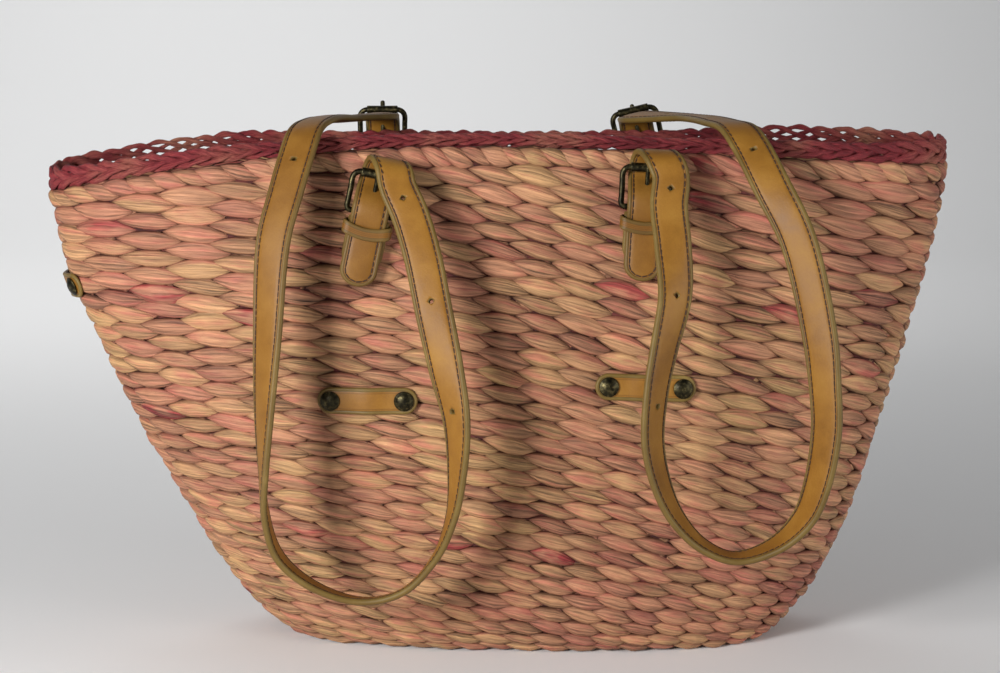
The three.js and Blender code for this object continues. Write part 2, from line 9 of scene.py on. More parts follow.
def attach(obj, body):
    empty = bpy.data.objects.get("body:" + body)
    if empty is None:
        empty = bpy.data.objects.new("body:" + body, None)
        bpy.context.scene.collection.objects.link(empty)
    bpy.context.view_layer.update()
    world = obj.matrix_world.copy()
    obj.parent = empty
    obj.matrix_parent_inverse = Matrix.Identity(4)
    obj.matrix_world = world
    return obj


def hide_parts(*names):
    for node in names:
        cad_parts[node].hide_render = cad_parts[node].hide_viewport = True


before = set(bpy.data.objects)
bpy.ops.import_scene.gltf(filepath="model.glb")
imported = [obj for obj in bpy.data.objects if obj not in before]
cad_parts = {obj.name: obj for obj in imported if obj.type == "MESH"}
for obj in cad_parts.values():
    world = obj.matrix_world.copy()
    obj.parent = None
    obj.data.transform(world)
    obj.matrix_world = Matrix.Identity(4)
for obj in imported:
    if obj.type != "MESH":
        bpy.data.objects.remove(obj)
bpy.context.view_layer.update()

scene = bpy.context.scene


# Camera. It looks at the front from a little above, from about 1.35 m away, with a long lens.
CAMERA_PLACE = (-0.0175, -1.35, 0.4)
CAMERA_PITCH = math.radians(9.76)
CAMERA_LENS = 86.99

camera = bpy.data.objects.new("camera", bpy.data.cameras.new("camera"))
camera.data.lens = CAMERA_LENS
camera.location = CAMERA_PLACE
camera.rotation_euler = (math.pi / 2 - CAMERA_PITCH, 0, 0)
scene.collection.objects.link(camera)
scene.camera = camera


# Light. A soft lamp stands on the left in front, so the hanging straps throw soft shadows to the right. A
# weak wide lamp fills from the right, a third lights the sheet far behind, and a pale sky does the rest.
KEY_PLACE, KEY_SIZE, KEY_POWER = (-0.86, -1.12, 0.52), 0.4, 22
FILL_PLACE, FILL_SIZE, FILL_POWER = (1.25, -0.75, 0.42), 0.8, 9
FAR_PLACE, FAR_SIZE, FAR_POWER, FAR_AIM = (-0.5, 1.2, 1.4), 1.2, 17, (-0.5, 2.2, 0)
SKY_COLOUR, SKY_STRENGTH = (0.95, 0.97, 1.0), 0.1
AIM = (-0.02, 0, 0.14)


def lamp(name, place, size, power, aim=AIM):
    light = bpy.data.lights.new(name, "AREA")
    light.size = size
    light.energy = power
    made = bpy.data.objects.new(name, light)
    made.location = place
    made.rotation_euler = (Vector(aim) - Vector(place)).to_track_quat("-Z", "Y").to_euler()
    made.visible_camera = False
    scene.collection.objects.link(made)


lamp("key_light", KEY_PLACE, KEY_SIZE, KEY_POWER)
lamp("fill_light", FILL_PLACE, FILL_SIZE, FILL_POWER)
lamp("far_light", FAR_PLACE, FAR_SIZE, FAR_POWER, FAR_AIM)
scene.world = bpy.data.worlds.new("sky")
scene.world.use_nodes = True
sky = scene.world.node_tree.nodes["Background"]
sky.inputs["Color"].default_value = (*SKY_COLOUR, 1)
sky.inputs["Strength"].default_value = SKY_STRENGTH
scene.view_settings.view_transform = "Standard"


# Materials are sums of sockets. Value lets a socket take part in Python sums, and Look holds one material
# and adds any node to it. Colours are written as they look on a screen, from 0 to 255.
def colour(red, green, blue):
    shares = [c / 255 for c in (red, green, blue)]
    return (*[c / 12.92 if c <= 0.04045 else ((c + 0.055) / 1.055) ** 2.4 for c in shares], 1)


class Value:
    def __init__(self, look, socket):
        self.look = look
        self.socket = socket

    def __add__(self, other):
        return self.look.maths("ADD", self, other)

    def __sub__(self, other):
        return self.look.maths("SUBTRACT", self, other)

    def __rsub__(self, other):
        return self.look.maths("SUBTRACT", other, self)

    def __mul__(self, other):
        return self.look.maths("MULTIPLY", self, other)

    def __pow__(self, other):
        return self.look.maths("POWER", self, other)

    def __abs__(self):
        return self.look.maths("ABSOLUTE", self)

    __radd__ = __add__
    __rmul__ = __mul__


class Look:
    def __init__(self, name, **constants):
        self.material = bpy.data.materials.new(name)
        self.material.use_nodes = True
        self.tree = self.material.node_tree
        self.shader = self.tree.nodes["Principled BSDF"]
        for socket, value in constants.items():
            self.shader.inputs[socket.replace("_", " ")].default_value = value

    def node(self, kind, settings, values, out=0):
        made = self.tree.nodes.new(kind)
        for name, setting in settings.items():
            setattr(made, name, setting)
        for socket, value in values.items():
            if isinstance(value, Value):
                self.tree.links.new(value.socket, made.inputs[socket])
            else:
                made.inputs[socket].default_value = value
        return Value(self, made.outputs[out])

    def maths(self, operation, *values):
        return self.node("ShaderNodeMath", {"operation": operation}, dict(enumerate(values)))

    def clamp(self, value):
        return self.node("ShaderNodeClamp", {}, {"Value": value})

    def attribute(self, name):
        vector = self.node("ShaderNodeAttribute", {"attribute_name": name}, {}, "Vector")
        return [self.node("ShaderNodeSeparateXYZ", {}, {"Vector": vector}, axis) for axis in "XYZ"]

    def vector(self, x, y, z):
        return self.node("ShaderNodeCombineXYZ", {}, {"X": x, "Y": y, "Z": z})

    def place(self):
        return self.node("ShaderNodeTexCoord", {}, {}, "Object")

    def noise(self, at, scale, detail=2.0, rough=0.5):
        values = {"Vector": at, "Scale": scale, "Detail": detail, "Roughness": rough}
        return self.node("ShaderNodeTexNoise", {}, values)

    def mix(self, factor, first, second):
        return self.node("ShaderNodeMix", {"data_type": "RGBA"}, {0: factor, 6: first, 7: second}, 2)

    def shade(self, tone, factor):
        settings = {"data_type": "RGBA", "blend_type": "MULTIPLY"}
        return self.node("ShaderNodeMix", settings, {0: 1.0, 6: tone, 7: self.grey(factor)}, 2)

    def grey(self, value):
        return self.node("ShaderNodeCombineColor", {}, {"Red": value, "Green": value, "Blue": value})

    def ramp(self, factor, stops):
        made = self.node("ShaderNodeValToRGB", {}, {"Fac": factor})
        band = made.socket.node.color_ramp
        while len(band.elements) < len(stops):
            band.elements.new(1.0)
        for element, (at, tone) in zip(band.elements, stops):
            element.position = at
            element.color = tone
        return made

    def feed(self, socket, value):
        self.tree.links.new(value.socket, self.shader.inputs[socket])

    def bump(self, height, distance, strength=1.0):
        values = {"Height": height, "Distance": distance, "Strength": strength}
        self.feed("Normal", self.node("ShaderNodeBump", {}, values))


# Floor: a pale seamless sheet that curves up far behind the bag. It isn't part of the object.
FLOOR_FRONT, FLOOR_BACK, FLOOR_HALF, FLOOR_TOP = -4.0, 1.6, 6.0, 4.0
SWEEP_RADIUS, SWEEP_STEPS = 1.2, 12
paper = Look("paper", Roughness=0.9)
paper.feed("Base Color", paper.ramp(paper.noise(paper.place(), 0.6), [
    (0.3, colour(236, 236, 236)), (0.7, colour(241, 241, 241))]))
profile = [(FLOOR_FRONT, 0.0), (0.0, 0.0)]
for step in range(SWEEP_STEPS + 1):
    turn = math.radians(90 / SWEEP_STEPS * step)
    profile.append((FLOOR_BACK + SWEEP_RADIUS * math.sin(turn), SWEEP_RADIUS * (1 - math.cos(turn))))
profile.append((FLOOR_BACK + SWEEP_RADIUS, FLOOR_TOP))
sheet = bpy.data.meshes.new("floor")
sheet.from_pydata([(x, y, z) for y, z in profile for x in (-FLOOR_HALF, FLOOR_HALF)], [],
                  [(2 * k, 2 * k + 1, 2 * k + 3, 2 * k + 2) for k in range(len(profile) - 1)])
sheet.shade_smooth()
floor = bpy.data.objects.new("floor", sheet)
scene.collection.objects.link(floor)
sheet.materials.append(paper.material)


# The basket's surface, the same one that the CAD uses. Each row of SECTIONS is a level section of the bag:
# how far up the wall it is, and its widths, depths, drop of both ends, sag of the back, pinch and turn.
BASKET_HEIGHT = 0.281
RIM_WIDTH, RIM_SHIFT = 0.502, -0.019
BASE_WIDTH, BASE_DEPTH, BELLY_DEPTH = 0.268, 0.114, 0.168
WALL = 0.007
COLUMNS = ["share", "up", "left", "right", "front", "back", "square", "drop_left", "drop_right", "sag",
           "pinch", "turn"]
SECTIONS = np.array([
    [0.00, 0.000, 0.00, 0.00, 0.00, 0.00, 2.8, 0.000, 0.000, 0.000, 0.00, 2.5],
    [0.05, 0.032, 0.10, 0.10, 0.25, 0.25, 2.6, 0.010, 0.010, 0.000, 0.00, 2.4],
    [0.17, 0.155, 0.28, 0.31, 0.62, 0.62, 2.4, 0.036, 0.034, 0.000, 0.00, 2.0],
    [0.31, 0.300, 0.44, 0.49, 0.86, 0.86, 2.3, 0.056, 0.046, 0.000, 0.00, 1.5],
    [0.50, 0.495, 0.64, 0.66, 1.00, 1.00, 2.3, 0.078, 0.050, 0.000, 0.00, 0.8],
    [0.70, 0.700, 0.82, 0.83, 0.90, 0.90, 2.3, 0.094, 0.050, 0.010, 0.05, 0.2],
    [0.85, 0.850, 0.94, 0.94, 0.70, 0.68, 2.4, 0.102, 0.049, 0.020, 0.10, 0.0],
    [1.00, 1.000, 1.00, 1.00, 0.45, 0.40, 2.5, 0.104, 0.048, 0.045, 0.14, 0.0],
])
PINCH_REACH, LEFT_DROP_CURVE, RIGHT_DROP_CURVE, SAG_CURVE = 0.45, 2.1, 1.4, 2.5


def column(name, share):
    keys, values = SECTIONS[:, 0], SECTIONS[:, COLUMNS.index(name)]
    last = len(keys) - 1
    before, after = np.maximum(np.arange(last + 1) - 1, 0), np.minimum(np.arange(last + 1) + 1, last)
    slopes = (values[after] - values[before]) / (keys[after] - keys[before])
    k = np.clip(np.searchsorted(keys, share) - 1, 0, last - 1)
    step = keys[k + 1] - keys[k]
    t = (share - keys[k]) / step
    bend = (2 * t**3 - 3 * t**2 + 1) * values[k] + (3 * t**2 - 2 * t**3) * values[k + 1]
    return bend + step * ((t**3 - 2 * t**2 + t) * slopes[k] + (t**3 - t**2) * slopes[k + 1])


def section_point(along, out, side, share):
    at = {name: column(name, share) for name in COLUMNS[1:]}
    left = -BASE_WIDTH / 2 + (RIM_SHIFT - RIM_WIDTH / 2 + BASE_WIDTH / 2) * at["left"]
    right = BASE_WIDTH / 2 + (RIM_SHIFT + RIM_WIDTH / 2 - BASE_WIDTH / 2) * at["right"]
    swell = np.where(side < 0, at["front"], at["back"]) * (BELLY_DEPTH - BASE_DEPTH) / 2
    x = (left + right) / 2 + (right - left) / 2 * along
    y = side * (BASE_DEPTH / 2 + swell) * out * (1 - at["pinch"] * np.exp(-((along / PINCH_REACH) ** 2)))
    reach = np.abs(along)
    drop = np.where(along < 0, at["drop_left"] * reach**LEFT_DROP_CURVE,
                    at["drop_right"] * reach**RIGHT_DROP_CURVE)
    sag = np.where(side > 0, at["sag"] * np.maximum(1 - along**2, 0) ** SAG_CURVE, 0)
    z = BASKET_HEIGHT * (at["up"] - drop - sag)
    turn = -np.radians(at["turn"])
    return np.stack([x * np.cos(turn) - y * np.sin(turn), x * np.sin(turn) + y * np.cos(turn), z], -1)


def basket_point(angle, share):
    square = column("square", share)
    c, s = np.cos(angle), np.sin(angle)
    along = np.sign(c) * np.abs(c) ** (2 / square)
    return section_point(along, np.abs(s) ** (2 / square), np.where(s < 0, -1, 1), share)


def unit(vectors):
    return vectors / np.linalg.norm(vectors, axis=-1, keepdims=True)


def up_the_wall(angle, share, step):
    return basket_point(angle, np.minimum(share + step, 1)) - basket_point(angle, np.maximum(share - step, 0))


def basket_normal(angle, share, step=0.004):
    around = basket_point(angle + step, share) - basket_point(angle - step, share)
    return unit(np.cross(around, up_the_wall(angle, share, step)))


# The weave's chart. A place on the wall is a column (0 to 1 round the bag, from the right end over the
# back), a row and a depth. Stakes fan out: their spacing is even at the foot and wider at the ends above.
STAKES, WALL_ROWS = 44, 31
LOW_PITCH, HIGH_PITCH = 0.0079, 0.0097
END_SPREAD = 0.16
TABLE_SHARES = np.linspace(0, 1, 41)
FINE_ANGLES = np.linspace(0, 2 * math.pi, 1441)
TABLE_TURNS = np.linspace(0, 1, 721)


def angle_row(share):
    ring = basket_point(FINE_ANGLES, np.full(FINE_ANGLES.shape, share))
    lengths = np.concatenate([[0], np.cumsum(np.linalg.norm(np.diff(ring, axis=0), axis=1))])
    spread = END_SPREAD * share
    wanted = TABLE_TURNS + spread * np.sin(4 * math.pi * TABLE_TURNS) / (4 * math.pi)
    return np.interp(wanted * lengths[-1], lengths, FINE_ANGLES)


ANGLE_TABLE = np.array([angle_row(share) for share in TABLE_SHARES])


def angle_at(turn, share):
    turn = np.mod(turn, 1.0)
    s = np.clip(share, 0, 1) * (len(TABLE_SHARES) - 1)
    t = turn * (len(TABLE_TURNS) - 1)
    i, j = np.minimum(s.astype(int), len(TABLE_SHARES) - 2), np.minimum(t.astype(int), len(TABLE_TURNS) - 2)
    a, b = s - i, t - j
    low = ANGLE_TABLE[i, j] * (1 - b) + ANGLE_TABLE[i, j + 1] * b
    high = ANGLE_TABLE[i + 1, j] * (1 - b) + ANGLE_TABLE[i + 1, j + 1] * b
    return low * (1 - a) + high * a


def share_of_row(row):
    growth = (HIGH_PITCH - LOW_PITCH) / (2 * WALL_ROWS)
    return (LOW_PITCH * row + growth * row**2) / (LOW_PITCH * WALL_ROWS + growth * WALL_ROWS**2)


def on_wall(turn, row, depth):
    share = share_of_row(row)
    held = np.clip(share, 0, 1)
    angle = angle_at(turn, held)
    beyond = ((share - held) * BASKET_HEIGHT)[:, None] * unit(up_the_wall(angle, held, 0.01))
    return basket_point(angle, held) + beyond + basket_normal(angle, held) * depth[:, None]


# A scatter tree repeats a small shape on points: stitches, links and the weave's cells. Every copy gets its
# own small shift, turn and stretch, and a random value named tint that its material reads.
def scatter_tree():
    tree = bpy.data.node_groups.new("scatter", "GeometryNodeTree")
    sockets = [("Points", "NodeSocketGeometry"), ("Shape", "NodeSocketObject"), ("Shift", "NodeSocketVector"),
               ("Turn", "NodeSocketVector"), ("Stretch", "NodeSocketVector"), ("Seed", "NodeSocketInt"),
               ("Material", "NodeSocketMaterial")]
    for name, kind in sockets:
        tree.interface.new_socket(name=name, in_out="INPUT", socket_type=kind)
    tree.interface.new_socket(name="Copies", in_out="OUTPUT", socket_type="NodeSocketGeometry")

    def node(kind, settings={}, values={}):
        new = tree.nodes.new(kind)
        for name, setting in settings.items():
            setattr(new, name, setting)
        for socket, value in values.items():
            if isinstance(value, bpy.types.NodeSocket):
                tree.links.new(value, new.inputs[socket])
            else:
                new.inputs[socket].default_value = value
        return new

    given = node("NodeGroupInput").outputs

    def spread(amount, offset):
        seed = node("ShaderNodeMath", {"operation": "ADD"}, {0: given["Seed"], 1: offset}).outputs[0]
        low = node("ShaderNodeVectorMath", {"operation": "SCALE"}, {0: amount, "Scale": -1.0}).outputs[0]
        return node("FunctionNodeRandomValue", {"data_type": "FLOAT_VECTOR"},
                    {0: low, 1: amount, "Seed": seed}).outputs[0]

    def add(first, second):
        return node("ShaderNodeVectorMath", {"operation": "ADD"}, {0: first, 1: second}).outputs[0]

    moved = node("GeometryNodeSetPosition", {}, {"Geometry": given["Points"],
                                                 "Offset": spread(given["Shift"], 1)}).outputs[0]
    turn = node("GeometryNodeInputNamedAttribute", {"data_type": "FLOAT_VECTOR"}, {"Name": "turn"})
    angles = add(turn.outputs["Attribute"], spread(given["Turn"], 2))
    turned = node("FunctionNodeEulerToRotation", {}, {0: angles}).outputs[0]
    one = node("FunctionNodeInputVector", {"vector": (1.0, 1.0, 1.0)}).outputs[0]
    sized = add(one, spread(given["Stretch"], 3))
    shape = node("GeometryNodeObjectInfo", {}, {"Object": given["Shape"]}).outputs["Geometry"]
    copies = node("GeometryNodeInstanceOnPoints", {}, {"Points": moved, "Instance": shape, "Rotation": turned,
                                                       "Scale": sized}).outputs[0]
    seed = node("ShaderNodeMath", {"operation": "ADD"}, {0: given["Seed"], 1: 4}).outputs[0]
    tint = node("FunctionNodeRandomValue", {"data_type": "FLOAT_VECTOR"}, {"Seed": seed}).outputs[0]
    tinted = node("GeometryNodeStoreNamedAttribute", {"data_type": "FLOAT_VECTOR", "domain": "INSTANCE"},
                  {"Geometry": copies, "Name": "tint", "Value": tint}).outputs[0]
    real = node("GeometryNodeRealizeInstances", {}, {"Geometry": tinted}).outputs[0]
    painted = node("GeometryNodeSetMaterial", {},
                   {"Geometry": real, "Material": given["Material"]}).outputs[0]
    out = node("NodeGroupOutput")
    tree.links.new(painted, out.inputs["Copies"])
    return tree


SCATTER = scatter_tree()


def mesh_object(name, points, faces, vectors=None, look=None):
    mesh = bpy.data.meshes.new(name)
    mesh.from_pydata([tuple(p) for p in points], [], faces)
    for key, values in (vectors or {}).items():
        mesh.attributes.new(key, "FLOAT_VECTOR", "POINT").data.foreach_set("vector", np.ravel(values))
    mesh.shade_smooth()
    if look:
        mesh.materials.append(look.material)
    made = bpy.data.objects.new(name, mesh)
    scene.collection.objects.link(made)
    return made


def scatter(name, shape, points, look, turns=None, seed=0, shift=(0, 0, 0), turn=(0, 0, 0),
            stretch=(0, 0, 0)):
    points = np.asarray(points, float)
    made = mesh_object(name, points, [], {"turn": np.zeros_like(points) if turns is None else turns})
    modifier = made.modifiers.new("scatter", "NODES")
    modifier.node_group = SCATTER
    values = {"Shape": shape, "Shift": shift, "Turn": turn, "Stretch": stretch, "Seed": seed,
              "Material": look.material}
    for socket in SCATTER.interface.items_tree:
        if socket.name in values:
            modifier[socket.identifier] = values[socket.name]
    graph = bpy.context.evaluated_depsgraph_get()
    mesh = bpy.data.meshes.new_from_object(made.evaluated_get(graph), preserve_all_data_layers=True,
                                           depsgraph=graph)
    made.modifiers.clear()
    made.data = mesh
    mesh.shade_smooth()
    bpy.data.objects.remove(shape)
    return made


def read(mesh, name=None):
    values = np.zeros(len(mesh.vertices) * 3)
    if name:
        mesh.attributes[name].data.foreach_get("vector", values)
    else:
        mesh.vertices.foreach_get("co", values)
    return values.reshape(-1, 3)


def move(mesh, points):
    mesh.vertices.foreach_set("co", np.ravel(points))
    mesh.update()


# Straw: flat dried stalks, twined in pairs round upright stakes. Each visible stalk is a puffed lens, drawn
# to a point at both ends, with fibres along it. Its colour runs from tan and peach to pink and dyed red, and
# its outline and tips carry painted crease shade.
straw = Look("straw", Roughness=0.62, Specular_IOR_Level=0.35)
along, across, _ = straw.attribute("grain")
shade, fleck, hue = straw.attribute("tint")
fibres = straw.noise(straw.vector(along * 0.5, across * 3.6, shade * 90.0), 1.0, 3.0, 0.7)
streaks = straw.noise(straw.vector(along * 0.3, across * 1.7, hue * 50.0), 1.0, 2.0, 0.6)
patches = straw.noise(straw.vector(along * 0.8, across * 0.7, hue * 70.0), 1.3, 2.0)
place_tone = straw.noise(straw.place(), 9.0, 1.0)
tone = straw.ramp(straw.clamp(shade * 0.55 + (place_tone - 0.5) * 0.8 + 0.18), [
    (0.00, colour(178, 142, 94)), (0.30, colour(176, 134, 94)), (0.60, colour(170, 120, 90)),
    (0.85, colour(166, 108, 86)), (1.00, colour(160, 94, 80))])
rosy = straw.clamp((patches - 0.46) * 3.4 + (streaks - 0.5) * 3.2 + across * 0.25)
tone = straw.mix(rosy * 0.62, tone, colour(158, 82, 72))
dipped = straw.clamp((shade - 0.972) * 60.0) * straw.clamp((patches - 0.42) * 5.0 + (streaks - 0.5) * 2.0)
tone = straw.mix(dipped * 0.8, tone, colour(146, 44, 50))
# Painted crease shade: each stalk's outline and tips are darkened towards near-black red-brown, standing for
# the shade in the creases between stalks.
edge = straw.clamp(abs(across) ** 5.0 + abs(along) ** 6.0)
tone = straw.mix(edge * 0.92, tone, colour(70, 24, 20))
tone = straw.shade(tone, 0.84 + fleck * 0.32 + (fibres - 0.5) * 2.9 + (streaks - 0.5) * 1.2)
specks = straw.noise(straw.vector(along * 2.0, across * 3.0, hue * 30.0), 7.0, 1.0)
tone = straw.mix(straw.clamp((specks - 0.71) * 12.0) * 0.55, tone, colour(96, 48, 34))
straw.feed("Base Color", tone)
straw.bump(fibres + streaks * 0.5 + patches * 0.6, 0.002, 0.75)

# Stakes: their near-black red-brown colour is painted shade, standing for the shade deep in the gaps between
# stalks.
stake_shade_look = Look("stakes", Roughness=0.9)
stake_shade_look.feed("Base Color", stake_shade_look.ramp(stake_shade_look.noise(stake_shade_look.place(), 160.0, 3.0), [
    (0.35, colour(58, 24, 22)), (0.7, colour(112, 52, 46))]))


# One cell of the weave is one stalk as it crosses a stake, in the chart: a column and a row wide, with depths
# in metres. Its left end lies over the end of the stalk before it, and its right end goes under the next.
CELL_REACH, CELL_HALF, CELL_RELIEF, CELL_SEAT = 0.79, 0.57, 0.0035, -0.0032
CELL_LEAN, CELL_BEND, CELL_TIP, CELL_LAP = 0.40, -0.02, 2.0, 0.0008
CELL_RISE, CELL_CREST, CELL_SHOULDER, CELL_UNDER, END_UNDER = 0.7, 3.0, 0.6, 0.0006, 0.0008


def cell(name, stations, around, reach=CELL_REACH, half=CELL_HALF, lean=CELL_LEAN, bend=CELL_BEND, side=1):
    points, grain, faces = [], [], []
    for t in stations:
        width = half * (1 - abs(t) ** CELL_TIP)
        middle = -(lean * t + bend * t**3)
        height = CELL_RELIEF * (1 - abs(t) ** CELL_TIP) ** CELL_RISE
        seat = CELL_SEAT - CELL_LAP * t - CELL_UNDER * t**2
        for s in around:
            puff = height * (1 - abs(s) ** CELL_CREST) ** CELL_SHOULDER
            points.append((t * reach, middle + s * width, side * (seat + puff)))
            grain.append((t, s, 0))
        points.append((t * reach, middle, side * (seat - CELL_UNDER)))
        grain.append((t, 0, 0))
    ring = len(around) + 1
    for k in range(len(stations) - 1):
        for i in range(ring):
            j = (i + 1) % ring
            face = (k * ring + i, (k + 1) * ring + i, (k + 1) * ring + j, k * ring + j)
            faces.append(face if side > 0 else face[::-1])
    for k, t in ((0, -1), (len(stations) - 1, 1)):
        points.append((t * reach, -(lean + bend) * t, side * (CELL_SEAT - CELL_LAP * t - END_UNDER)))
        grain.append((t, 0, 0))
        for i in range(ring):
            j = (i + 1) % ring
            face = (k * ring + i, k * ring + j, len(points) - 1)
            faces.append(face if (t < 0) == (side > 0) else face[::-1])
    return mesh_object(name, points, faces, {"grain": grain})


OUTER_STATIONS = [-0.93, -0.74, -0.45, -0.15, 0.15, 0.45, 0.74, 0.93]
OUTER_AROUND = [-1, -0.86, -0.48, 0, 0.48, 0.86, 1]
INNER_STATIONS = [-0.85, -0.5, 0, 0.5, 0.85]
INNER_AROUND = [-1, -0.6, 0, 0.6, 1]


# No two stalks are alike: each swells, bends and skews a little in its row, stands out more or less, and is
# rippled along. The first three are shares of a row, the others are in metres.
STALK_SWELL, STALK_BEND, STALK_SKEW = 0.16, 0.16, 0.18
STALK_BULGE, BASE_BULGE, STALK_RIPPLE = 0.0007, 0.0003, 0.0003


def rough_cells(mesh, bulge=STALK_BULGE):
    points, tint, grain = read(mesh), read(mesh, "tint"), read(mesh, "grain")
    t, s = grain[:, 0], grain[:, 1]
    points[:, 1] += (tint[:, 1] - 0.4) * STALK_SWELL * (1 - t**2) * s
    points[:, 1] += (tint[:, 0] - 0.5) * STALK_BEND * np.sin(2.4 * t + 6 * tint[:, 2])
    points[:, 1] += (tint[:, 2] - 0.5) * STALK_SKEW * t * (1 - t**2)
    points[:, 2] += (tint[:, 2] - 0.5) * bulge * 2 * (1 - t**2)
    points[:, 2] += STALK_RIPPLE * np.sin(9 * t + 40 * tint[:, 0]) * (1 - t**2) * (1 - s**2)
    return points


def grid(columns, rows, first_row=0.5, first_column=0.0):
    return [(i + first_column, j + first_row, 0) for j in range(rows) for i in range(columns)]


def dress(piece, node):
    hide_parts(node)
    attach(piece, "root")


# The wall: 30 rows of stalks round 44 stakes, taken from the chart onto the basket's surface. The lowest
# stalks are pressed flat where the bag stands.
CELL_SHIFT, CELL_STRETCH = (0.035, 0.02, 0.00015), (0.07, 0.03, 0.06)
WALL_FOOT = 0.0002
wall_weave = scatter("wall_weave", cell("cell", OUTER_STATIONS, OUTER_AROUND), grid(STAKES, WALL_ROWS - 1),
                     straw, seed=3, shift=CELL_SHIFT, turn=(0, 0, 0.012), stretch=CELL_STRETCH)
chart = rough_cells(wall_weave.data)
placed = on_wall(chart[:, 0] / STAKES, chart[:, 1], chart[:, 2])
placed[:, 2] = np.maximum(placed[:, 2], WALL_FOOT)
move(wall_weave.data, placed)
dress(wall_weave, "basket_body")


# The row under the rim is twined with twice as many stalks, which lean more steeply, like a rope.
ROPE_CELLS = 2 * STAKES
ROPE_REACH, ROPE_HALF, ROPE_LEAN, ROPE_BEND = 0.98, 0.52, 0.34, 0.12
rope_cell = cell("rope_cell", OUTER_STATIONS, OUTER_AROUND, ROPE_REACH, ROPE_HALF, ROPE_LEAN, ROPE_BEND)
rope_row = scatter("rope_row", rope_cell, grid(ROPE_CELLS, 1, WALL_ROWS - 0.5), straw, seed=11,
                   shift=(0.06, 0.02, 0.0001), stretch=(0.08, 0.04, 0.06))
chart = rough_cells(rope_row.data)
move(rope_row.data, on_wall(chart[:, 0] / ROPE_CELLS, chart[:, 1], chart[:, 2]))
dress(rope_row, "basket_body")


# The inside face shows the same stalks where they pass behind the stakes, half a cell further on. It ends at
# INNER_FOOT, where the bag's own floor begins.
INNER_FOOT = 0.004
inner_cell = cell("inner_cell", INNER_STATIONS, INNER_AROUND, lean=-CELL_LEAN, bend=-CELL_BEND, side=-1)
inner_weave = scatter("inner_weave", inner_cell, grid(STAKES, WALL_ROWS, 0.5, 0.5), straw, seed=7,
                      shift=CELL_SHIFT, stretch=CELL_STRETCH)
chart = rough_cells(inner_weave.data)
inner = on_wall(chart[:, 0] / STAKES, chart[:, 1], chart[:, 2] - WALL)
inner[:, 2] = np.maximum(inner[:, 2], INNER_FOOT)
move(inner_weave.data, inner)
dress(inner_weave, "basket_body")


# Stakes: the upright rods that the stalks are twined round. They show only as ridges in the gaps, and their
# near-black red-brown colour is painted shade for the deep gaps.
STAKE_RINGS, STAKE_STEPS = 48, 352
CORE_OUT, CORE_IN, STAKE_RIDGE, CORE_FOOT = -0.0031, -0.0040, 0.0005, 0.0006
core_points, core_faces = [], []
turns = np.arange(STAKE_STEPS) / STAKE_STEPS
for rise, depth in [(r, CORE_OUT) for r in np.linspace(0.1, WALL_ROWS, STAKE_RINGS)] + \
        [(r, CORE_IN) for r in np.linspace(WALL_ROWS, 0.1, STAKE_RINGS)]:
    ridge = STAKE_RIDGE * np.cos(2 * math.pi * STAKES * turns) * (1 if depth == CORE_OUT else -1)
    ring = on_wall(turns, np.full(STAKE_STEPS, rise), depth + ridge)
    core_points += list(ring)
RINGS = 2 * STAKE_RINGS
for k in range(RINGS):
    for i in range(STAKE_STEPS):
        j = (i + 1) % STAKE_STEPS
        low, high = k * STAKE_STEPS, ((k + 1) % RINGS) * STAKE_STEPS
        core_faces.append((low + i, low + j, high + j, high + i))
core_points = [(x, y, max(z, CORE_FOOT)) for x, y, z in core_points]
stakes = mesh_object("stakes", core_points, core_faces, look=stake_shade_look)
dress(stakes, "basket_body")


# Rim: a flat plait of five cords of dyed straw, sewn on the top edge. Each cord swings up and down past the
# other four, over two and under two, so the crossings that show make arrowheads that point right. The plait
# is narrower along the front, and on two stretches of the back it is loose, with thin cords and gaps.
RIM_HEIGHT, RIM_END_RISE, FRONT_DIP, RIM_LIFT = 0.0106, 0.0022, 0.0030, 0.0003
CORDS, PLAIT_LINKS, LINK_LENGTH, CORD_RADIUS, PLAIT_DEPTH = 5, 18, 0.062, 0.0017, 0.0016
LOOSE_STRETCHES, LOOSE_WIDTH, LOOSE_CORD = (0.085, 0.43), 0.03, 0.34
CORD_STEPS, CORD_SIDES, PLIES, PLY_TURNS, PLY_RELIEF = 72, 12, 2, 7, 0.17
CORD_SWING, CORD_FLATNESS, LOOSE_SPREAD = 0.0035, 0.86, 0.15
WIDTH_CHANGE, WIDTH_WAVES, RISE_CHANGE, RISE_WAVES = 0.08, 8, 0.12, 13

dyed = Look("dyed_straw", Roughness=0.58, Specular_IOR_Level=0.35)
along, across, turn = dyed.attribute("grain")
_, _, hue = dyed.attribute("tint")
twist = dyed.vector(along * 3.0 + turn * 1.2, across * 1.6 + along * 9.0, hue * 60.0)
threads = dyed.noise(twist, 3.0, 4.0, 0.72)
bands = dyed.noise(dyed.place(), 34.0, 2.0)
tone = dyed.ramp(dyed.clamp(bands * 1.5 - 0.32 + (threads - 0.5) * 0.9), [
    (0.0, colour(98, 22, 30)), (0.32, colour(128, 40, 46)), (0.58, colour(142, 70, 62)),
    (0.82, colour(158, 100, 80)), (1.0, colour(170, 124, 94))])
tone = dyed.shade(tone, threads * 2.3 - 0.16)
dyed.feed("Base Color", tone)
dyed.bump(threads, 0.0012, 0.9)


def swing(turns, strand):
    phase = 2 * math.pi * (turns + strand / CORDS)
    return np.sin(phase) - np.sin(3 * phase) / 9, -np.sin(2 * phase)


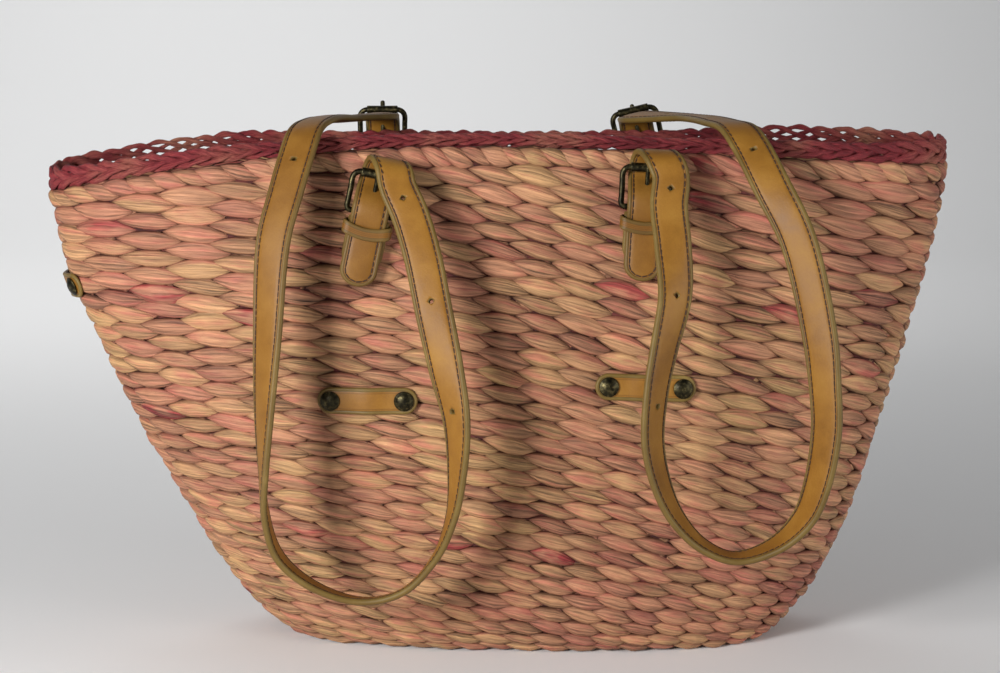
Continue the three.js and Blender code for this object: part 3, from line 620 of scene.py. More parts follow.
def rim_place(turn, rise, depth):
    angle = angle_at(turn, np.ones_like(turn))
    edge = basket_point(angle, np.ones_like(angle))
    out = basket_normal(angle, np.ones_like(angle))
    out[:, 2] = 0
    out = unit(out)
    end = (edge[:, 0] - RIM_SHIFT) / (RIM_WIDTH / 2)
    height = RIM_HEIGHT + RIM_END_RISE * end**2 - FRONT_DIP * np.maximum(1 - end**2, 0) * (edge[:, 1] < 0)
    made = edge + out * (depth - WALL / 2)[:, None]
    made[:, 2] += RIM_LIFT + height / 2 + rise * (height / 2 - CORD_RADIUS)
    return made


def cord_link(strand):
    steps = np.arange(CORD_STEPS + 1) / CORD_STEPS
    length = LINK_LENGTH
    rise, depth = swing(steps, strand)
    centre = np.stack([steps * length, rise * CORD_SWING, depth * PLAIT_DEPTH], -1)
    ahead, behind = swing(steps + 0.01, strand), swing(steps - 0.01, strand)
    way = unit(np.stack([np.full_like(steps, 0.02 * length), (ahead[0] - behind[0]) * CORD_SWING,
                         (ahead[1] - behind[1]) * PLAIT_DEPTH], -1))
    up = unit(np.cross(np.tile([0, 0, 1.0], (len(way), 1)), way))
    face = np.cross(way, up)
    points, grain, faces = [], [], []
    for k in range(CORD_STEPS + 1):
        for i in range(CORD_SIDES):
            a = 2 * math.pi * i / CORD_SIDES
            radius = CORD_RADIUS * (1 + PLY_RELIEF * math.cos(PLIES * a + 2 * math.pi * PLY_TURNS * steps[k]))
            point = centre[k] + radius * (math.cos(a) * up[k] + math.sin(a) * face[k] * CORD_FLATNESS)
            points.append((point[0] / length, point[1] / CORD_SWING, point[2]))
            grain.append((steps[k], math.cos(a), math.sin(a)))
    for k in range(CORD_STEPS):
        for i in range(CORD_SIDES):
            j = (i + 1) % CORD_SIDES
            low, high = k * CORD_SIDES, (k + 1) * CORD_SIDES
            faces.append((low + i, high + i, high + j, low + j))
    return mesh_object(f"cord_{strand}", points, faces, {"grain": grain})


for strand in range(CORDS):
    cord = scatter(f"rim_cord_{strand}", cord_link(strand), [(k, 0, 0) for k in range(PLAIT_LINKS)], dyed,
                   seed=20 + strand)
    chart = read(cord.data)
    waves = 2 * math.pi / PLAIT_LINKS * chart[:, 0]
    chart[:, 1] *= 1 + WIDTH_CHANGE * np.sin(WIDTH_WAVES * waves + strand)
    chart[:, 1] += RISE_CHANGE * np.sin(RISE_WAVES * waves + 2 * strand)
    turns = np.mod(chart[:, 0] / PLAIT_LINKS, 1.0)
    rise, depth = swing(chart[:, 0], strand)
    for middle in LOOSE_STRETCHES:
        loose = np.exp(-(((turns - middle) / LOOSE_WIDTH) ** 2))
        chart[:, 1] += (rise - chart[:, 1]) * LOOSE_CORD * loose + rise * LOOSE_SPREAD * loose
        chart[:, 2] += (depth * PLAIT_DEPTH - chart[:, 2]) * LOOSE_CORD * loose
    move(cord.data, rim_place(turns, chart[:, 1], chart[:, 2]))
    dress(cord, "rim_braid")


# Leather: vegetable-tanned hide, camel on the face, with thick edges painted olive and burnished round. The
# attribute edge holds the distance from the edge in millimetres, the distance along, and 1 on the back face.
leather = Look("leather", Specular_IOR_Level=0.28)
from_edge, _, on_back = leather.attribute("edge")
grain = leather.noise(leather.place(), 900.0, 3.0, 0.6)
cloud = leather.noise(leather.place(), 55.0, 3.0, 0.55)
pores = leather.noise(leather.place(), 2600.0, 2.0, 0.5)
face_tone = leather.ramp(leather.clamp(cloud * 1.5 - 0.25 + (grain - 0.5) * 0.35), [
    (0.0, colour(118, 77, 26)), (0.5, colour(140, 96, 33)), (1.0, colour(156, 112, 44))])
edge_tone = leather.ramp(leather.clamp(cloud * 1.4 - 0.2), [
    (0.0, colour(92, 70, 32)), (0.6, colour(114, 92, 44)), (1.0, colour(138, 114, 62))])
# Painted shade: the groove beside the burnished edge and the sewn channel are darkened, standing for the
# shade in these recesses.
groove = leather.clamp(1.0 - abs(from_edge - 2.05) * 3.2)
channel = leather.clamp(1.0 - abs(from_edge - 2.95) * 1.9)
tone = leather.mix(leather.clamp((2.2 - from_edge) * 4.0), face_tone, edge_tone)
tone = leather.mix(groove * 0.6, tone, colour(70, 46, 18))
tone = leather.mix(channel * 0.6, tone, colour(98, 60, 22))
# Painted shade: the back face is the same camel leather as the front, made a little darker for the shade it
# sits in.
tone = leather.mix(leather.clamp(on_back) * 0.25, tone, colour(96, 60, 24))
leather.feed("Base Color", tone)
leather.feed("Roughness", leather.clamp(0.36 + cloud * 0.26))
leather.bump(grain * 0.6 + pores * 0.25 + cloud * 0.5, 0.00035, 0.5)

thread = Look("thread", Roughness=0.7)
thread.feed("Base Color", thread.ramp(thread.noise(thread.place(), 1200.0, 2.0), [
    (0.3, colour(36, 20, 10)), (0.7, colour(68, 40, 20))]))

pale_thread = Look("pale_thread", Roughness=0.7)
pale_thread.feed("Base Color", pale_thread.ramp(pale_thread.noise(pale_thread.place(), 1200.0, 2.0), [
    (0.3, colour(150, 116, 62)), (0.7, colour(186, 154, 96))]))


# A path holds stations: the length run so far, the place and the directions along, across and through.
def curve_through(keys, steps):
    keys = np.asarray(keys, float)
    before, after = 2 * keys[0] - keys[1], 2 * keys[-1] - keys[-2]
    held = np.vstack([before, keys, after])
    points = []
    for k in range(len(keys) - 1):
        p0, p1, p2, p3 = held[k:k + 4]
        d0, d1, d2 = [max(np.linalg.norm(b - a), 1e-9) ** 0.5 for a, b in ((p0, p1), (p1, p2), (p2, p3))]
        m1 = ((p1 - p0) / d0 - (p2 - p0) / (d0 + d1) + (p2 - p1) / d1) * d1
        m2 = ((p2 - p1) / d1 - (p3 - p1) / (d1 + d2) + (p3 - p2) / d2) * d1
        for t in np.arange(steps) / steps:
            points.append(((2 * t**3 - 3 * t**2 + 1) * p1 + (t**3 - 2 * t**2 + t) * m1
                           + (3 * t**2 - 2 * t**3) * p2 + (t**3 - t**2) * m2))
    return np.array(points + [keys[-1]])


def make_path(places, across):
    places, across = np.asarray(places, float), np.asarray(across, float)
    along = unit(np.gradient(places, axis=0))
    across = unit(across - along * np.sum(across * along, axis=1, keepdims=True))
    run = np.concatenate([[0], np.cumsum(np.linalg.norm(np.diff(places, axis=0), axis=1))])
    return {"run": run, "place": places, "along": along, "across": across, "through": np.cross(along, across)}


def path_frame(path, runs):
    got = {}
    for name in ("place", "along", "across", "through"):
        got[name] = np.stack([np.interp(runs, path["run"], path[name][:, k]) for k in range(3)], -1)
    return got


def on_path(path, runs, sideways, rise):
    at = path_frame(path, runs)
    return at["place"] + at["across"] * sideways[:, None] + at["through"] * rise[:, None]


def weld(mesh, distance=1e-6):
    work = bmesh.new()
    work.from_mesh(mesh)
    bmesh.ops.remove_doubles(work, verts=work.verts, dist=distance)
    bmesh.ops.dissolve_degenerate(work, edges=work.edges, dist=1e-7)
    work.to_mesh(mesh)
    work.free()
    mesh.shade_smooth()


# A band is a flat strip of leather with round ends. TOP and BACK give its height at each distance from the
# edge, in thousandths of a metre: the burnished edge, the groove beside it, the sewn channel and the crown.
TOP = [(0, 0), (0.15, 0.75), (0.5, 1.25), (1.0, 1.6), (1.5, 1.72), (1.85, 1.62), (2.1, 1.38), (2.3, 1.52),
       (2.55, 1.58), (2.75, 1.5), (2.95, 1.36), (3.2, 1.52), (3.8, 1.74), (5.2, 1.92), (7.0, 2.02),
       (10.0, 2.08)]
BACK = [(e, -h) for e, h in TOP]


def band(name, path, half, thickness, tips, look, top=TOP, back=BACK, spacing=0.003):
    length = path["run"][-1]
    start, end = tips
    near = [start * (1 - math.cos(a)) for a in np.linspace(0, math.pi / 2, 12)] if start else [0]
    far = [length - end * (1 - math.cos(a)) for a in np.linspace(math.pi / 2, 0, 12)] if end else [length]
    count = max(int((far[0] - near[-1]) / spacing), 2)
    runs = near + list(np.linspace(near[-1], far[0], count + 1)[1:-1]) + far
    mid = half * 1000
    upper = [(e, h) for e, h in top if e < mid] + [(mid, np.interp(mid, *zip(*top)))]
    lower = [(e, h) for e, h in back if e < mid] + [(mid, np.interp(mid, *zip(*back)))]
    walk = [(-1, e, h, 0) for e, h in upper] + [(1, e, h, 0) for e, h in upper[::-1][1:]]
    walk += [(1, e, h, 1) for e, h in lower[1:]] + [(-1, e, h, 1) for e, h in lower[::-1][1:-1]]
    scale = thickness / 0.0035 / 1000
    sides, out, where, marks = [], [], [], []
    for run in runs:
        offset = 0
        if start and run < start:
            offset = (start - run) / start * half
        elif end and run > length - end:
            offset = (run - length + end) / end * half
        for side, e, h, is_back in walk:
            rho = half - e / 1000
            reach = math.sqrt(max(rho * rho - offset * offset, 0))
            from_edge = (half - math.hypot(reach, offset)) * 1000
            table = back if is_back else top
            height = np.interp(from_edge, *zip(*table)) if offset > rho else h
            where.append(run)
            sides.append(side * reach)
            out.append(height * scale)
            marks.append((from_edge, run, is_back))
    points = on_path(path, np.array(where), np.array(sides), np.array(out))
    ring = len(walk)
    faces = []
    for k in range(len(runs) - 1):
        for i in range(ring):
            j = (i + 1) % ring
            faces.append((k * ring + i, k * ring + j, (k + 1) * ring + j, (k + 1) * ring + i))
    for k, flip in ((0, False), (len(runs) - 1, True)):
        cap = [k * ring + i for i in range(ring)]
        faces.append(cap if flip else cap[::-1])
    made = mesh_object(name, points, faces, {"edge": marks}, look)
    weld(made.data)
    return made


# Buckle places. Each buckle stands on its heel bar, in a frame of its own: across, outward and up. A row of
# BUCKLES holds its side (-1 in front), its place as shares of the rim's width and of the height, how far its
# heel bar stands off the wall, and its lean in degrees. The sizes below it are in millimetres.
BUCKLES = {
    "front_left": (-1, -0.172, 0.878, 0.0065, 12),
    "front_right": (-1, 0.119, 0.89, 0.0065, 3),
    "back_left": (1, -0.172, 0.961, 0.007, 0),
    "back_right": (1, 0.13, 0.961, 0.007, -13),
}
TAB_LENGTH, TAB_THICKNESS, TAB_HALF = 31, 3, 11
KEEPER_DROP, KEEPER_HEIGHT, KEEPER_THICKNESS = 11, 7.5, 1.4
LEAF_KNEE, KNEE_PROUD = 23, 0.9
CLEARANCE = 0.3


def wall_at(x, z, side):
    share, y = z / BASKET_HEIGHT, 0.0
    for _ in range(14):
        held = np.clip(share, 0, 1)
        turn = -math.radians(column("turn", held))
        left = -BASE_WIDTH / 2 + (RIM_SHIFT - RIM_WIDTH / 2 + BASE_WIDTH / 2) * column("left", held)
        right = BASE_WIDTH / 2 + (RIM_SHIFT + RIM_WIDTH / 2 - BASE_WIDTH / 2) * column("right", held)
        straight = x * math.cos(turn) + y * math.sin(turn)
        along = np.clip((straight - (left + right) / 2) / ((right - left) / 2), -1, 1)
        square = column("square", held)
        point = section_point(along, (1 - abs(along) ** square) ** (1 / square), side, held)
        y = point[1]
        share += (z - point[2]) / BASKET_HEIGHT
    return y


def buckle_frame(name):
    side, across, up, stand_off, lean = BUCKLES[name]
    x, z = across * RIM_WIDTH, up * BASKET_HEIGHT
    lean = math.radians(lean)
    ways = np.array([(math.cos(lean), 0, -math.sin(lean)), (0, side, 0), (math.sin(lean), 0, math.cos(lean))])
    return np.array([x, wall_at(x, z, side) + side * stand_off, z]), ways, side


def at_buckle(name, points):
    heel, ways, _ = buckle_frame(name)
    return heel + np.asarray(points, float) / 1000 @ ways


def tab_places(name):
    heel, ways, side = buckle_frame(name)

    def wall(u):
        place = at_buckle(name, (0, 0, u))
        return side * (wall_at(place[0], place[2], side) - heel[1]) * 1000

    low, high = -KEEPER_DROP - KEEPER_HEIGHT / 2 - 1, -KEEPER_DROP + KEEPER_HEIGHT / 2 + 0.6
    level = wall(low) + TAB_THICKNESS / 2 + KEEPER_THICKNESS + 3.5 * CLEARANCE
    seat = TAB_THICKNESS / 2 + 0.5
    tip, knee = wall(-TAB_LENGTH) + seat, wall(-LEAF_KNEE) + seat + KNEE_PROUD
    return level, [(0, tip, -TAB_LENGTH), (0, knee, -LEAF_KNEE), (0, level, low), (0, level, high),
                   (0, -0.3, -2.8)]


# Straps: a long strap on the left and one on the right, each a padded leather band, sewn along both edges and
# punched near both ends. It is buckled at the front, hangs down the front in a loop, and goes over the rim to
# the buckle behind. A row of a loop is a place, as shares of the rim's width, the belly's depth and the
# height, and the turn and lift of the band there, in degrees.
STRAP_HALF, STRAP_THICKNESS, STRAP_TIP = 0.010, 0.0035, 0.009
LEFT_LOOP = [
    (-0.129, 0.554, 0.886, 2, 0), (-0.1155, 0.613, 0.813, 6, 0), (-0.103, 0.675, 0.712, 10, 0),
    (-0.0905, 0.714, 0.610, 24, 0), (-0.080, 0.732, 0.516, 46, 0), (-0.0795, 0.720, 0.420, 64, 0),
    (-0.086, 0.696, 0.324, 80, 2), (-0.1045, 0.661, 0.238, 90, 6), (-0.138, 0.633, 0.171, 93, 11),
    (-0.181, 0.619, 0.151, 94, 12), (-0.232, 0.629, 0.182, 93, 8), (-0.268, 0.652, 0.244, 92, 4),
    (-0.281, 0.684, 0.333, 88, 0), (-0.2815, 0.696, 0.417, 76, 0), (-0.280, 0.696, 0.512, 61, 0),
    (-0.276, 0.667, 0.661, 41, 0), (-0.270, 0.601, 0.840, 23, 0), (-0.2588, 0.548, 0.921, 18, 0),
    (-0.2485, 0.482, 0.989, 14, 0), (-0.2405, 0.410, 1.033, 12, 4), (-0.2295, 0.280, 1.046, 10, 6),
    (-0.2086, -0.060, 1.033, 6, 5),
]
RIGHT_LOOP = [
    (0.1412, 0.554, 0.901, 0, 0), (0.1445, 0.610, 0.830, -8, 0), (0.1458, 0.667, 0.740, -28, 0),
    (0.1350, 0.700, 0.650, -42, 0), (0.1267, 0.717, 0.570, -49, 0), (0.1237, 0.720, 0.471, -55, 0),
    (0.1337, 0.708, 0.388, -62, 0), (0.1514, 0.685, 0.321, -70, 0), (0.1811, 0.655, 0.263, -80, 0),
    (0.2155, 0.637, 0.238, -90, 0), (0.2550, 0.649, 0.265, -103, 0), (0.2829, 0.673, 0.320, -114, 0),
    (0.2956, 0.696, 0.386, -123, 0), (0.3036, 0.708, 0.493, -133, 0), (0.3012, 0.702, 0.578, -138, 0),
    (0.2956, 0.685, 0.668, -148, 0), (0.2739, 0.613, 0.841, -156, 0), (0.2484, 0.548, 0.936, -164, 0),
    (0.2300, 0.455, 1.003, -170, 0), (0.2180, 0.375, 1.034, -174, 0), (0.2030, 0.240, 1.040, -176, 0),
    (0.1787, -0.060, 1.035, -178, 0),
]
TAIL = [(2.2, -39), (0.7, -25), (0, -16), (0.3, -8.5)]
FRONT_TURN = [(0, 6.5, 0), (0, 5.9, 4.4), (0, 3.4, 8.8), (0, -3.6, 14.5), (0.4, -7, 20.6), (1.6, -5.1, 26.8),
              (4, 1.3, 29.2), (8, 8.8, 26), (11.5, 12.8, 18.8)]
BACK_TURN = [(0, 6.5, 0), (0, 6.4, 5), (0, 4.5, 11), (0, -0.9, 15.9), (0, -8.5, 18), (0, -20, 18.8)]
STITCH_INSET, STITCH_PITCH, STITCH_TOP, STITCH_BACK = 0.00295, 0.0034, 0.00165, -0.0016
HOLES, HOLE_RADIUS = (0.105, 0.163, 0.221), 0.0013


def strap_path(front, back, loop, end_way):
    tails = []
    for name, turn, way in ((front, FRONT_TURN, 1), (back, BACK_TURN, end_way)):
        seat = tab_places(name)[0] + (TAB_THICKNESS + STRAP_THICKNESS * 1000) / 2 + 2 * CLEARANCE
        rows = [(0, seat + away, up) for away, up in TAIL] + turn
        tails.append([(place, buckle_frame(name)[1][0] * way) for place in at_buckle(name, rows)])
    middle = []
    for across, forward, up, face, lift in loop:
        face, lift = math.radians(face), math.radians(lift)
        place = np.array([across * RIM_WIDTH, -forward * BELLY_DEPTH, up * BASKET_HEIGHT])
        middle.append((place, unit(np.array([math.cos(face), -math.sin(face), math.tan(lift)]))))
    keys = tails[0] + middle + tails[1][::-1]
    steps = 12
    places = curve_through([place for place, _ in keys], steps)
    ways = np.array([way for _, way in keys])
    blend = np.arange(len(places)) / steps
    k = np.minimum(blend.astype(int), len(keys) - 2)
    part = (blend - k)[:, None]
    return make_path(places, ways[k] * (1 - part) + ways[k + 1] * part)


def edge_line(length, half, tips, inset, pitch):
    start, end = tips
    rho = half - inset
    line = []
    for a in np.linspace(-90, 90, 19) if start else []:
        t = math.radians(a)
        line.append((start - start / half * rho * math.cos(t), rho * math.sin(t)))
    if not start:
        line += [(inset, -rho), (inset, rho)]
    for a in np.linspace(90, -90, 19) if end else []:
        t = math.radians(a)
        line.append((length - end + end / half * rho * math.cos(t), rho * math.sin(t)))
    if not end:
        line += [(length - inset, rho), (length - inset, -rho)]
    line = np.array(line + [line[0]])
    run = np.concatenate([[0], np.cumsum(np.linalg.norm(np.diff(line, axis=0), axis=1))])
    count = int(run[-1] / pitch)
    at = (np.arange(count) + 0.5) / count * run[-1]
    place = np.stack([np.interp(at, run, line[:, k]) for k in (0, 1)], -1)
    ahead = np.stack([np.interp(at + 1e-4, run, line[:, k]) for k in (0, 1)], -1)
    behind = np.stack([np.interp(at - 1e-4, run, line[:, k]) for k in (0, 1)], -1)
    return place, unit(ahead - behind)


def stitch_shape(name, length=0.0031, width=0.0004):
    points, faces = [], []
    shape = [(-0.5, 0.25), (-0.38, 0.85), (0, 1.0), (0.38, 0.85), (0.5, 0.25)]
    for at, size in shape:
        for i in range(6):
            a = math.pi / 3 * i
            points.append((at * length, width * size * math.cos(a), width * size * math.sin(a) * 0.8))
    for k in range(len(shape) - 1):
        for i in range(6):
            j = (i + 1) % 6
            faces.append((k * 6 + i, (k + 1) * 6 + i, (k + 1) * 6 + j, k * 6 + j)[::-1])
    faces += [tuple(range(6))[::-1], tuple(range((len(shape) - 1) * 6, len(shape) * 6))]
    return mesh_object(name, points, faces)


def turns_of(along, through):
    turns = []
    for x, z in zip(along, through):
        y = np.cross(z, x)
        turns.append(Matrix(np.array([x, y, z]).T.tolist()).to_euler("XYZ")[:])
    return np.array(turns)


def stitches(name, path, half, tips, rises, seed, inset=STITCH_INSET, pitch=STITCH_PITCH, look=thread):
    places, turns = [], []
    line, way = edge_line(path["run"][-1], half, tips, inset, pitch)
    at = path_frame(path, line[:, 0])
    for rise in rises:
        places.append(on_path(path, line[:, 0], line[:, 1], np.full(len(line), rise)))
        along = unit(at["along"] * way[:, :1] + at["across"] * way[:, 1:])
        turns.append(turns_of(along, unit(np.cross(along, np.cross(at["through"], along)))))
    return scatter(name, stitch_shape(name + "_shape"), np.vstack(places), look, np.vstack(turns), seed=seed,
                   turn=(0, 0, 0.09), stretch=(0.12, 0.1, 0.1))


def tube(name, places, radii, look, closed=False, sides=16):
    places = np.asarray(places, float)
    count = len(places)
    if closed:
        way = unit(np.roll(places, -1, 0) - np.roll(places, 1, 0))
    else:
        way = unit(np.gradient(places, axis=0))
    normal = unit(np.cross(way[0], (0.31, 0.77, 0.55)))
    points, faces = [], []
    first = None
    for k in range(count):
        normal = unit(normal - way[k] * np.dot(normal, way[k]))
        side = np.cross(way[k], normal)
        first = normal if first is None else first
        for i in range(sides):
            a = 2 * math.pi * i / sides
            points.append(places[k] + radii[k] * (math.cos(a) * normal + math.sin(a) * side))
    shift = 0
    if closed:
        back = unit(first - way[-1] * np.dot(first, way[-1]))
        twist = math.atan2(np.dot(np.cross(normal, back), way[-1]), np.dot(normal, back))
        shift = round(twist / (2 * math.pi) * sides)
    for k in range(count if closed else count - 1):
        after = (k + 1) % count
        slip = shift if closed and after == 0 else 0
        for i in range(sides):
            a, b = k * sides + i, k * sides + (i + 1) % sides
            c, d = after * sides + (i + 1 - slip) % sides, after * sides + (i - slip) % sides
            faces.append((a, b, c, d))
    if not closed:
        faces += [tuple(range(sides))[::-1], tuple(range((count - 1) * sides, count * sides))]
    return mesh_object(name, points, faces, look=look)


def facing_out(piece):
    work = bmesh.new()
    work.from_mesh(piece.data)
    bmesh.ops.recalc_face_normals(work, faces=work.faces)
    if work.calc_volume(signed=True) < 0:
        bmesh.ops.reverse_faces(work, faces=work.faces)
    work.to_mesh(piece.data)
    work.free()
    piece.data.shade_smooth()


def punched(piece, path, runs):
    cutters = []
    for run in runs:
        at = path_frame(path, np.array([run]))
        middle, through = at["place"][0], at["through"][0] * STRAP_THICKNESS
        cutter = tube("punch", [middle - through, middle + through], [HOLE_RADIUS] * 2, leather)
        facing_out(cutter)
        cut = piece.modifiers.new("hole", "BOOLEAN")
        cut.object = cutter
        cut.solver = "EXACT"
        cutters.append(cutter)
    graph = bpy.context.evaluated_depsgraph_get()
    mesh = bpy.data.meshes.new_from_object(piece.evaluated_get(graph), preserve_all_data_layers=True,
                                           depsgraph=graph)
    piece.modifiers.clear()
    piece.data = mesh
    for cutter in cutters:
        bpy.data.objects.remove(cutter)


STRAP_TIPS = (STRAP_TIP, STRAP_TIP)
for name, front, back, loop, end_way in (("left", "front_left", "back_left", LEFT_LOOP, 1),
                                         ("right", "front_right", "back_right", RIGHT_LOOP, -1)):
    path = strap_path(front, back, loop, end_way)
    strap = band(f"strap_{name}_leather", path, STRAP_HALF, STRAP_THICKNESS, STRAP_TIPS, leather)
    punched(strap, path, [*HOLES, *[path["run"][-1] - run for run in HOLES]])
    dress(strap, f"strap_{name}")
    sewing = stitches(f"strap_{name}_stitches", path, STRAP_HALF, STRAP_TIPS, (STITCH_TOP, STITCH_BACK), 31)
    dress(sewing, f"strap_{name}")


# Base: oval rings of the same twining, worked from the middle out, over a flat layer of stakes. The underside
# stands on the floor, and the upper side is the floor of the bag. A row of RING_GROUPS holds a group's first
# ring, its last and how many stalks go round each.
BASE_RINGS = 8
UNDER_LEVEL, UPPER_LEVEL, PLATE_LOW, PLATE_HIGH, PLATE_STEPS = 0.0010, 0.0064, 0.0034, 0.0046, 120
UPPER_INSET, BASE_FOOT = 0.3, 0.0001
RING_GROUPS = [(0, 3, 44), (3, 6, 34), (6, 8, 22)]
BASE_TURN = -math.radians(2.5)
BASE_AXIS = np.array([math.cos(BASE_TURN), math.sin(BASE_TURN)])
SPINE = (BASE_WIDTH - BASE_DEPTH) / 2


def on_base(turn, ring, level, inset=0.0):
    angle = angle_at(turn, np.zeros_like(turn))
    edge = basket_point(angle, np.zeros_like(angle))[:, :2]
    spine = np.clip(edge @ BASE_AXIS, -SPINE, SPINE)[:, None] * BASE_AXIS
    share = 1 - (ring + inset) / (BASE_RINGS + inset)
    flat = spine + (edge - spine) * np.maximum(share, 0)[:, None]
    return np.column_stack([flat, level])


for name, side, level, inset in (("base_under", -1, UNDER_LEVEL, 0),
                                 ("base_floor", 1, UPPER_LEVEL, UPPER_INSET)):
    for group, (first, last, count) in enumerate(RING_GROUPS):
        points = [(i + 0.5 * (j % 2), j + 0.5, 0) for j in range(first, last) for i in range(count)]
        rings = scatter(f"{name}_{group}", cell("base_cell", INNER_STATIONS, INNER_AROUND, side=side), points,
                        straw, seed=40 + group, shift=(0.03, 0.02, 0.0001), stretch=(0.07, 0.03, 0.06))
        chart = rough_cells(rings.data, BASE_BULGE)
        placed = on_base(chart[:, 0] / count, chart[:, 1], level + chart[:, 2], inset)
        placed[:, 2] = np.maximum(placed[:, 2], BASE_FOOT)
        move(rings.data, placed)
        dress(rings, "basket_body")

plate_turns = np.arange(PLATE_STEPS) / PLATE_STEPS
plate_rings = [(ring, PLATE_HIGH) for ring in (0.2, 3, 7.9)] + [(ring, PLATE_LOW) for ring in (7.9, 3, 0.2)]
plate_points = np.vstack([on_base(plate_turns, np.full(PLATE_STEPS, ring), np.full(PLATE_STEPS, level))
                          for ring, level in plate_rings])
plate_faces = []
for k in range(len(plate_rings)):
    low, high = k * PLATE_STEPS, (k + 1) % len(plate_rings) * PLATE_STEPS
    for i in range(PLATE_STEPS):
        j = (i + 1) % PLATE_STEPS
        plate_faces.append((low + i, low + j, high + j, high + i))
# The base's flat layer of stakes takes the same near-black painted shade.
plate = mesh_object("base_stakes", plate_points, plate_faces, look=stake_shade_look)
dress(plate, "basket_body")


# Tabs: a leather leaf sewn to the wall under each buckle. Two narrow ears of it fold over the heel bar and
# leave a slot for the tongue. Its keeper is a closed leather loop that holds the strap's end, slid up a
# little from its place in the CAD, with a drooping front. Rows are in millimetres, bands' sizes in metres.
STRAP_ROOM, KEEPER_SLIP, KEEPER_DROOP, EAR_ACROSS = 1.6, 3, 2.4, 6.1
EAR_HALF, EAR_THICKNESS, KEEPER_HALF, KEEPER_WALL = 0.0034, 0.0024, 0.0034, 0.0018
LEAF_HALF, LEAF_THICKNESS, LEAF_TIPS = TAB_HALF / 1000, TAB_THICKNESS / 1000, (0.009, 0)
LEAF_STITCH_INSET, LEAF_STITCH_RISE = 0.0030, 0.00142
KEEPER_STITCH_INSET, KEEPER_STITCH_PITCH, KEEPER_STITCH_RISE = 0.0018, 0.0030, 0.00088
TAB_PROFILE = [(e * 0.9, h) for e, h in TOP]
NARROW = [(0, 0), (0.12, 0.7), (0.4, 1.3), (0.8, 1.62), (1.1, 1.66), (1.35, 1.4), (1.6, 1.55), (2.2, 1.6),
          (2.6, 1.5), (3.0, 1.62), (6.0, 1.7)]
EAR = [(1.9, -7.5), (2.9, -3.0), (3.2, 0.0), (2.4, 2.3), (0.0, 3.2), (-2.4, 2.3), (-3.1, 0.0), (-2.2, -3.2),
       (-1.2, -7.5)]


def leather_path(name, rows, steps=8):
    places = curve_through(at_buckle(name, rows), steps)
    _, ways, side = buckle_frame(name)
    return make_path(places, np.tile(ways[0] * side, (len(places), 1)))


def mirrored(profile):
    return [(e, -h) for e, h in profile]


def joined(name, pieces):
    for piece in pieces:
        piece.select_set(True)
    with bpy.context.temp_override(active_object=pieces[0], selected_editable_objects=pieces):
        bpy.ops.object.join()
    pieces[0].name = name
    pieces[0].select_set(False)
    return pieces[0]


for name in BUCKLES:
    level, leaf = tab_places(name)
    leaf_path = leather_path(name, leaf)
    pieces = [band("leaf", leaf_path, LEAF_HALF, LEAF_THICKNESS, LEAF_TIPS, leather, TAB_PROFILE,
                   mirrored(TAB_PROFILE))]
    for side in (-1, 1):
        ear = leather_path(name, [(side * EAR_ACROSS, o, u) for o, u in EAR])
        pieces.append(band("ear", ear, EAR_HALF, EAR_THICKNESS, (0, 0), leather, NARROW, mirrored(NARROW),
                           0.001))
    tab = joined(f"tab_{name}_leather", pieces)
    dress(tab, f"tab_{name}")
    sewing = stitches(f"tab_{name}_stitches", leaf_path, LEAF_HALF, LEAF_TIPS, (LEAF_STITCH_RISE,), 52,
                      LEAF_STITCH_INSET)
    dress(sewing, f"tab_{name}")

    low = level - TAB_THICKNESS / 2 - CLEARANCE - KEEPER_THICKNESS / 2
    high = low + TAB_THICKNESS + STRAP_THICKNESS * 1000 + 6 * CLEARANCE + KEEPER_THICKNESS
    half = STRAP_HALF * 1000 + STRAP_ROOM + KEEPER_THICKNESS / 2
    loop = [(0.3, low), (half - 1.5, low), (half - 0.2, low + 1.1), (half + 0.1, (low + high) / 2),
            (half - 0.1, high - 1.3), (half - 1.6, high - 0.1), (half / 2, high + 0.15), (0, high + 0.2)]
    loop += [(-a, o) for a, o in loop[::-1][1:]]
    middle = KEEPER_SLIP - KEEPER_DROP
    rows = [(a, o, middle - KEEPER_DROOP * (1 - (a / half) ** 2) * (o > level)) for a, o in loop]
    places = curve_through(at_buckle(name, rows), 6)
    _, ways, side = buckle_frame(name)
    hoop = make_path(places, np.tile(-ways[2], (len(places), 1)) * side)
    keeper = band(f"keeper_{name}_leather", hoop, KEEPER_HALF, KEEPER_WALL, (0, 0), leather, NARROW,
                  mirrored(NARROW), 0.0007)
    dress(keeper, f"keeper_{name}")
    sewing = stitches(f"keeper_{name}_stitches", hoop, KEEPER_HALF, (0, 0), (KEEPER_STITCH_RISE,), 53,
                      KEEPER_STITCH_INSET, KEEPER_STITCH_PITCH, pale_thread)
    dress(sewing, f"keeper_{name}")


# Old brass: the buckles and rivets are brass with a dark green-brown patina, worn brighter in patches.
brass = Look("old_brass", Metallic=0.92)
patina = brass.noise(brass.place(), 420.0, 4.0, 0.6)
fine = brass.noise(brass.place(), 1900.0, 3.0, 0.6)
worn = brass.clamp((patina - 0.5) * 3.0 + 0.35)
brass.feed("Base Color", brass.ramp(worn, [
    (0.0, colour(34, 31, 22)), (0.5, colour(60, 55, 36)), (1.0, colour(116, 104, 70))]))
brass.feed("Roughness", brass.clamp(0.30 + patina * 0.22))
brass.bump(patina + fine * 0.4, 0.00015, 0.5)


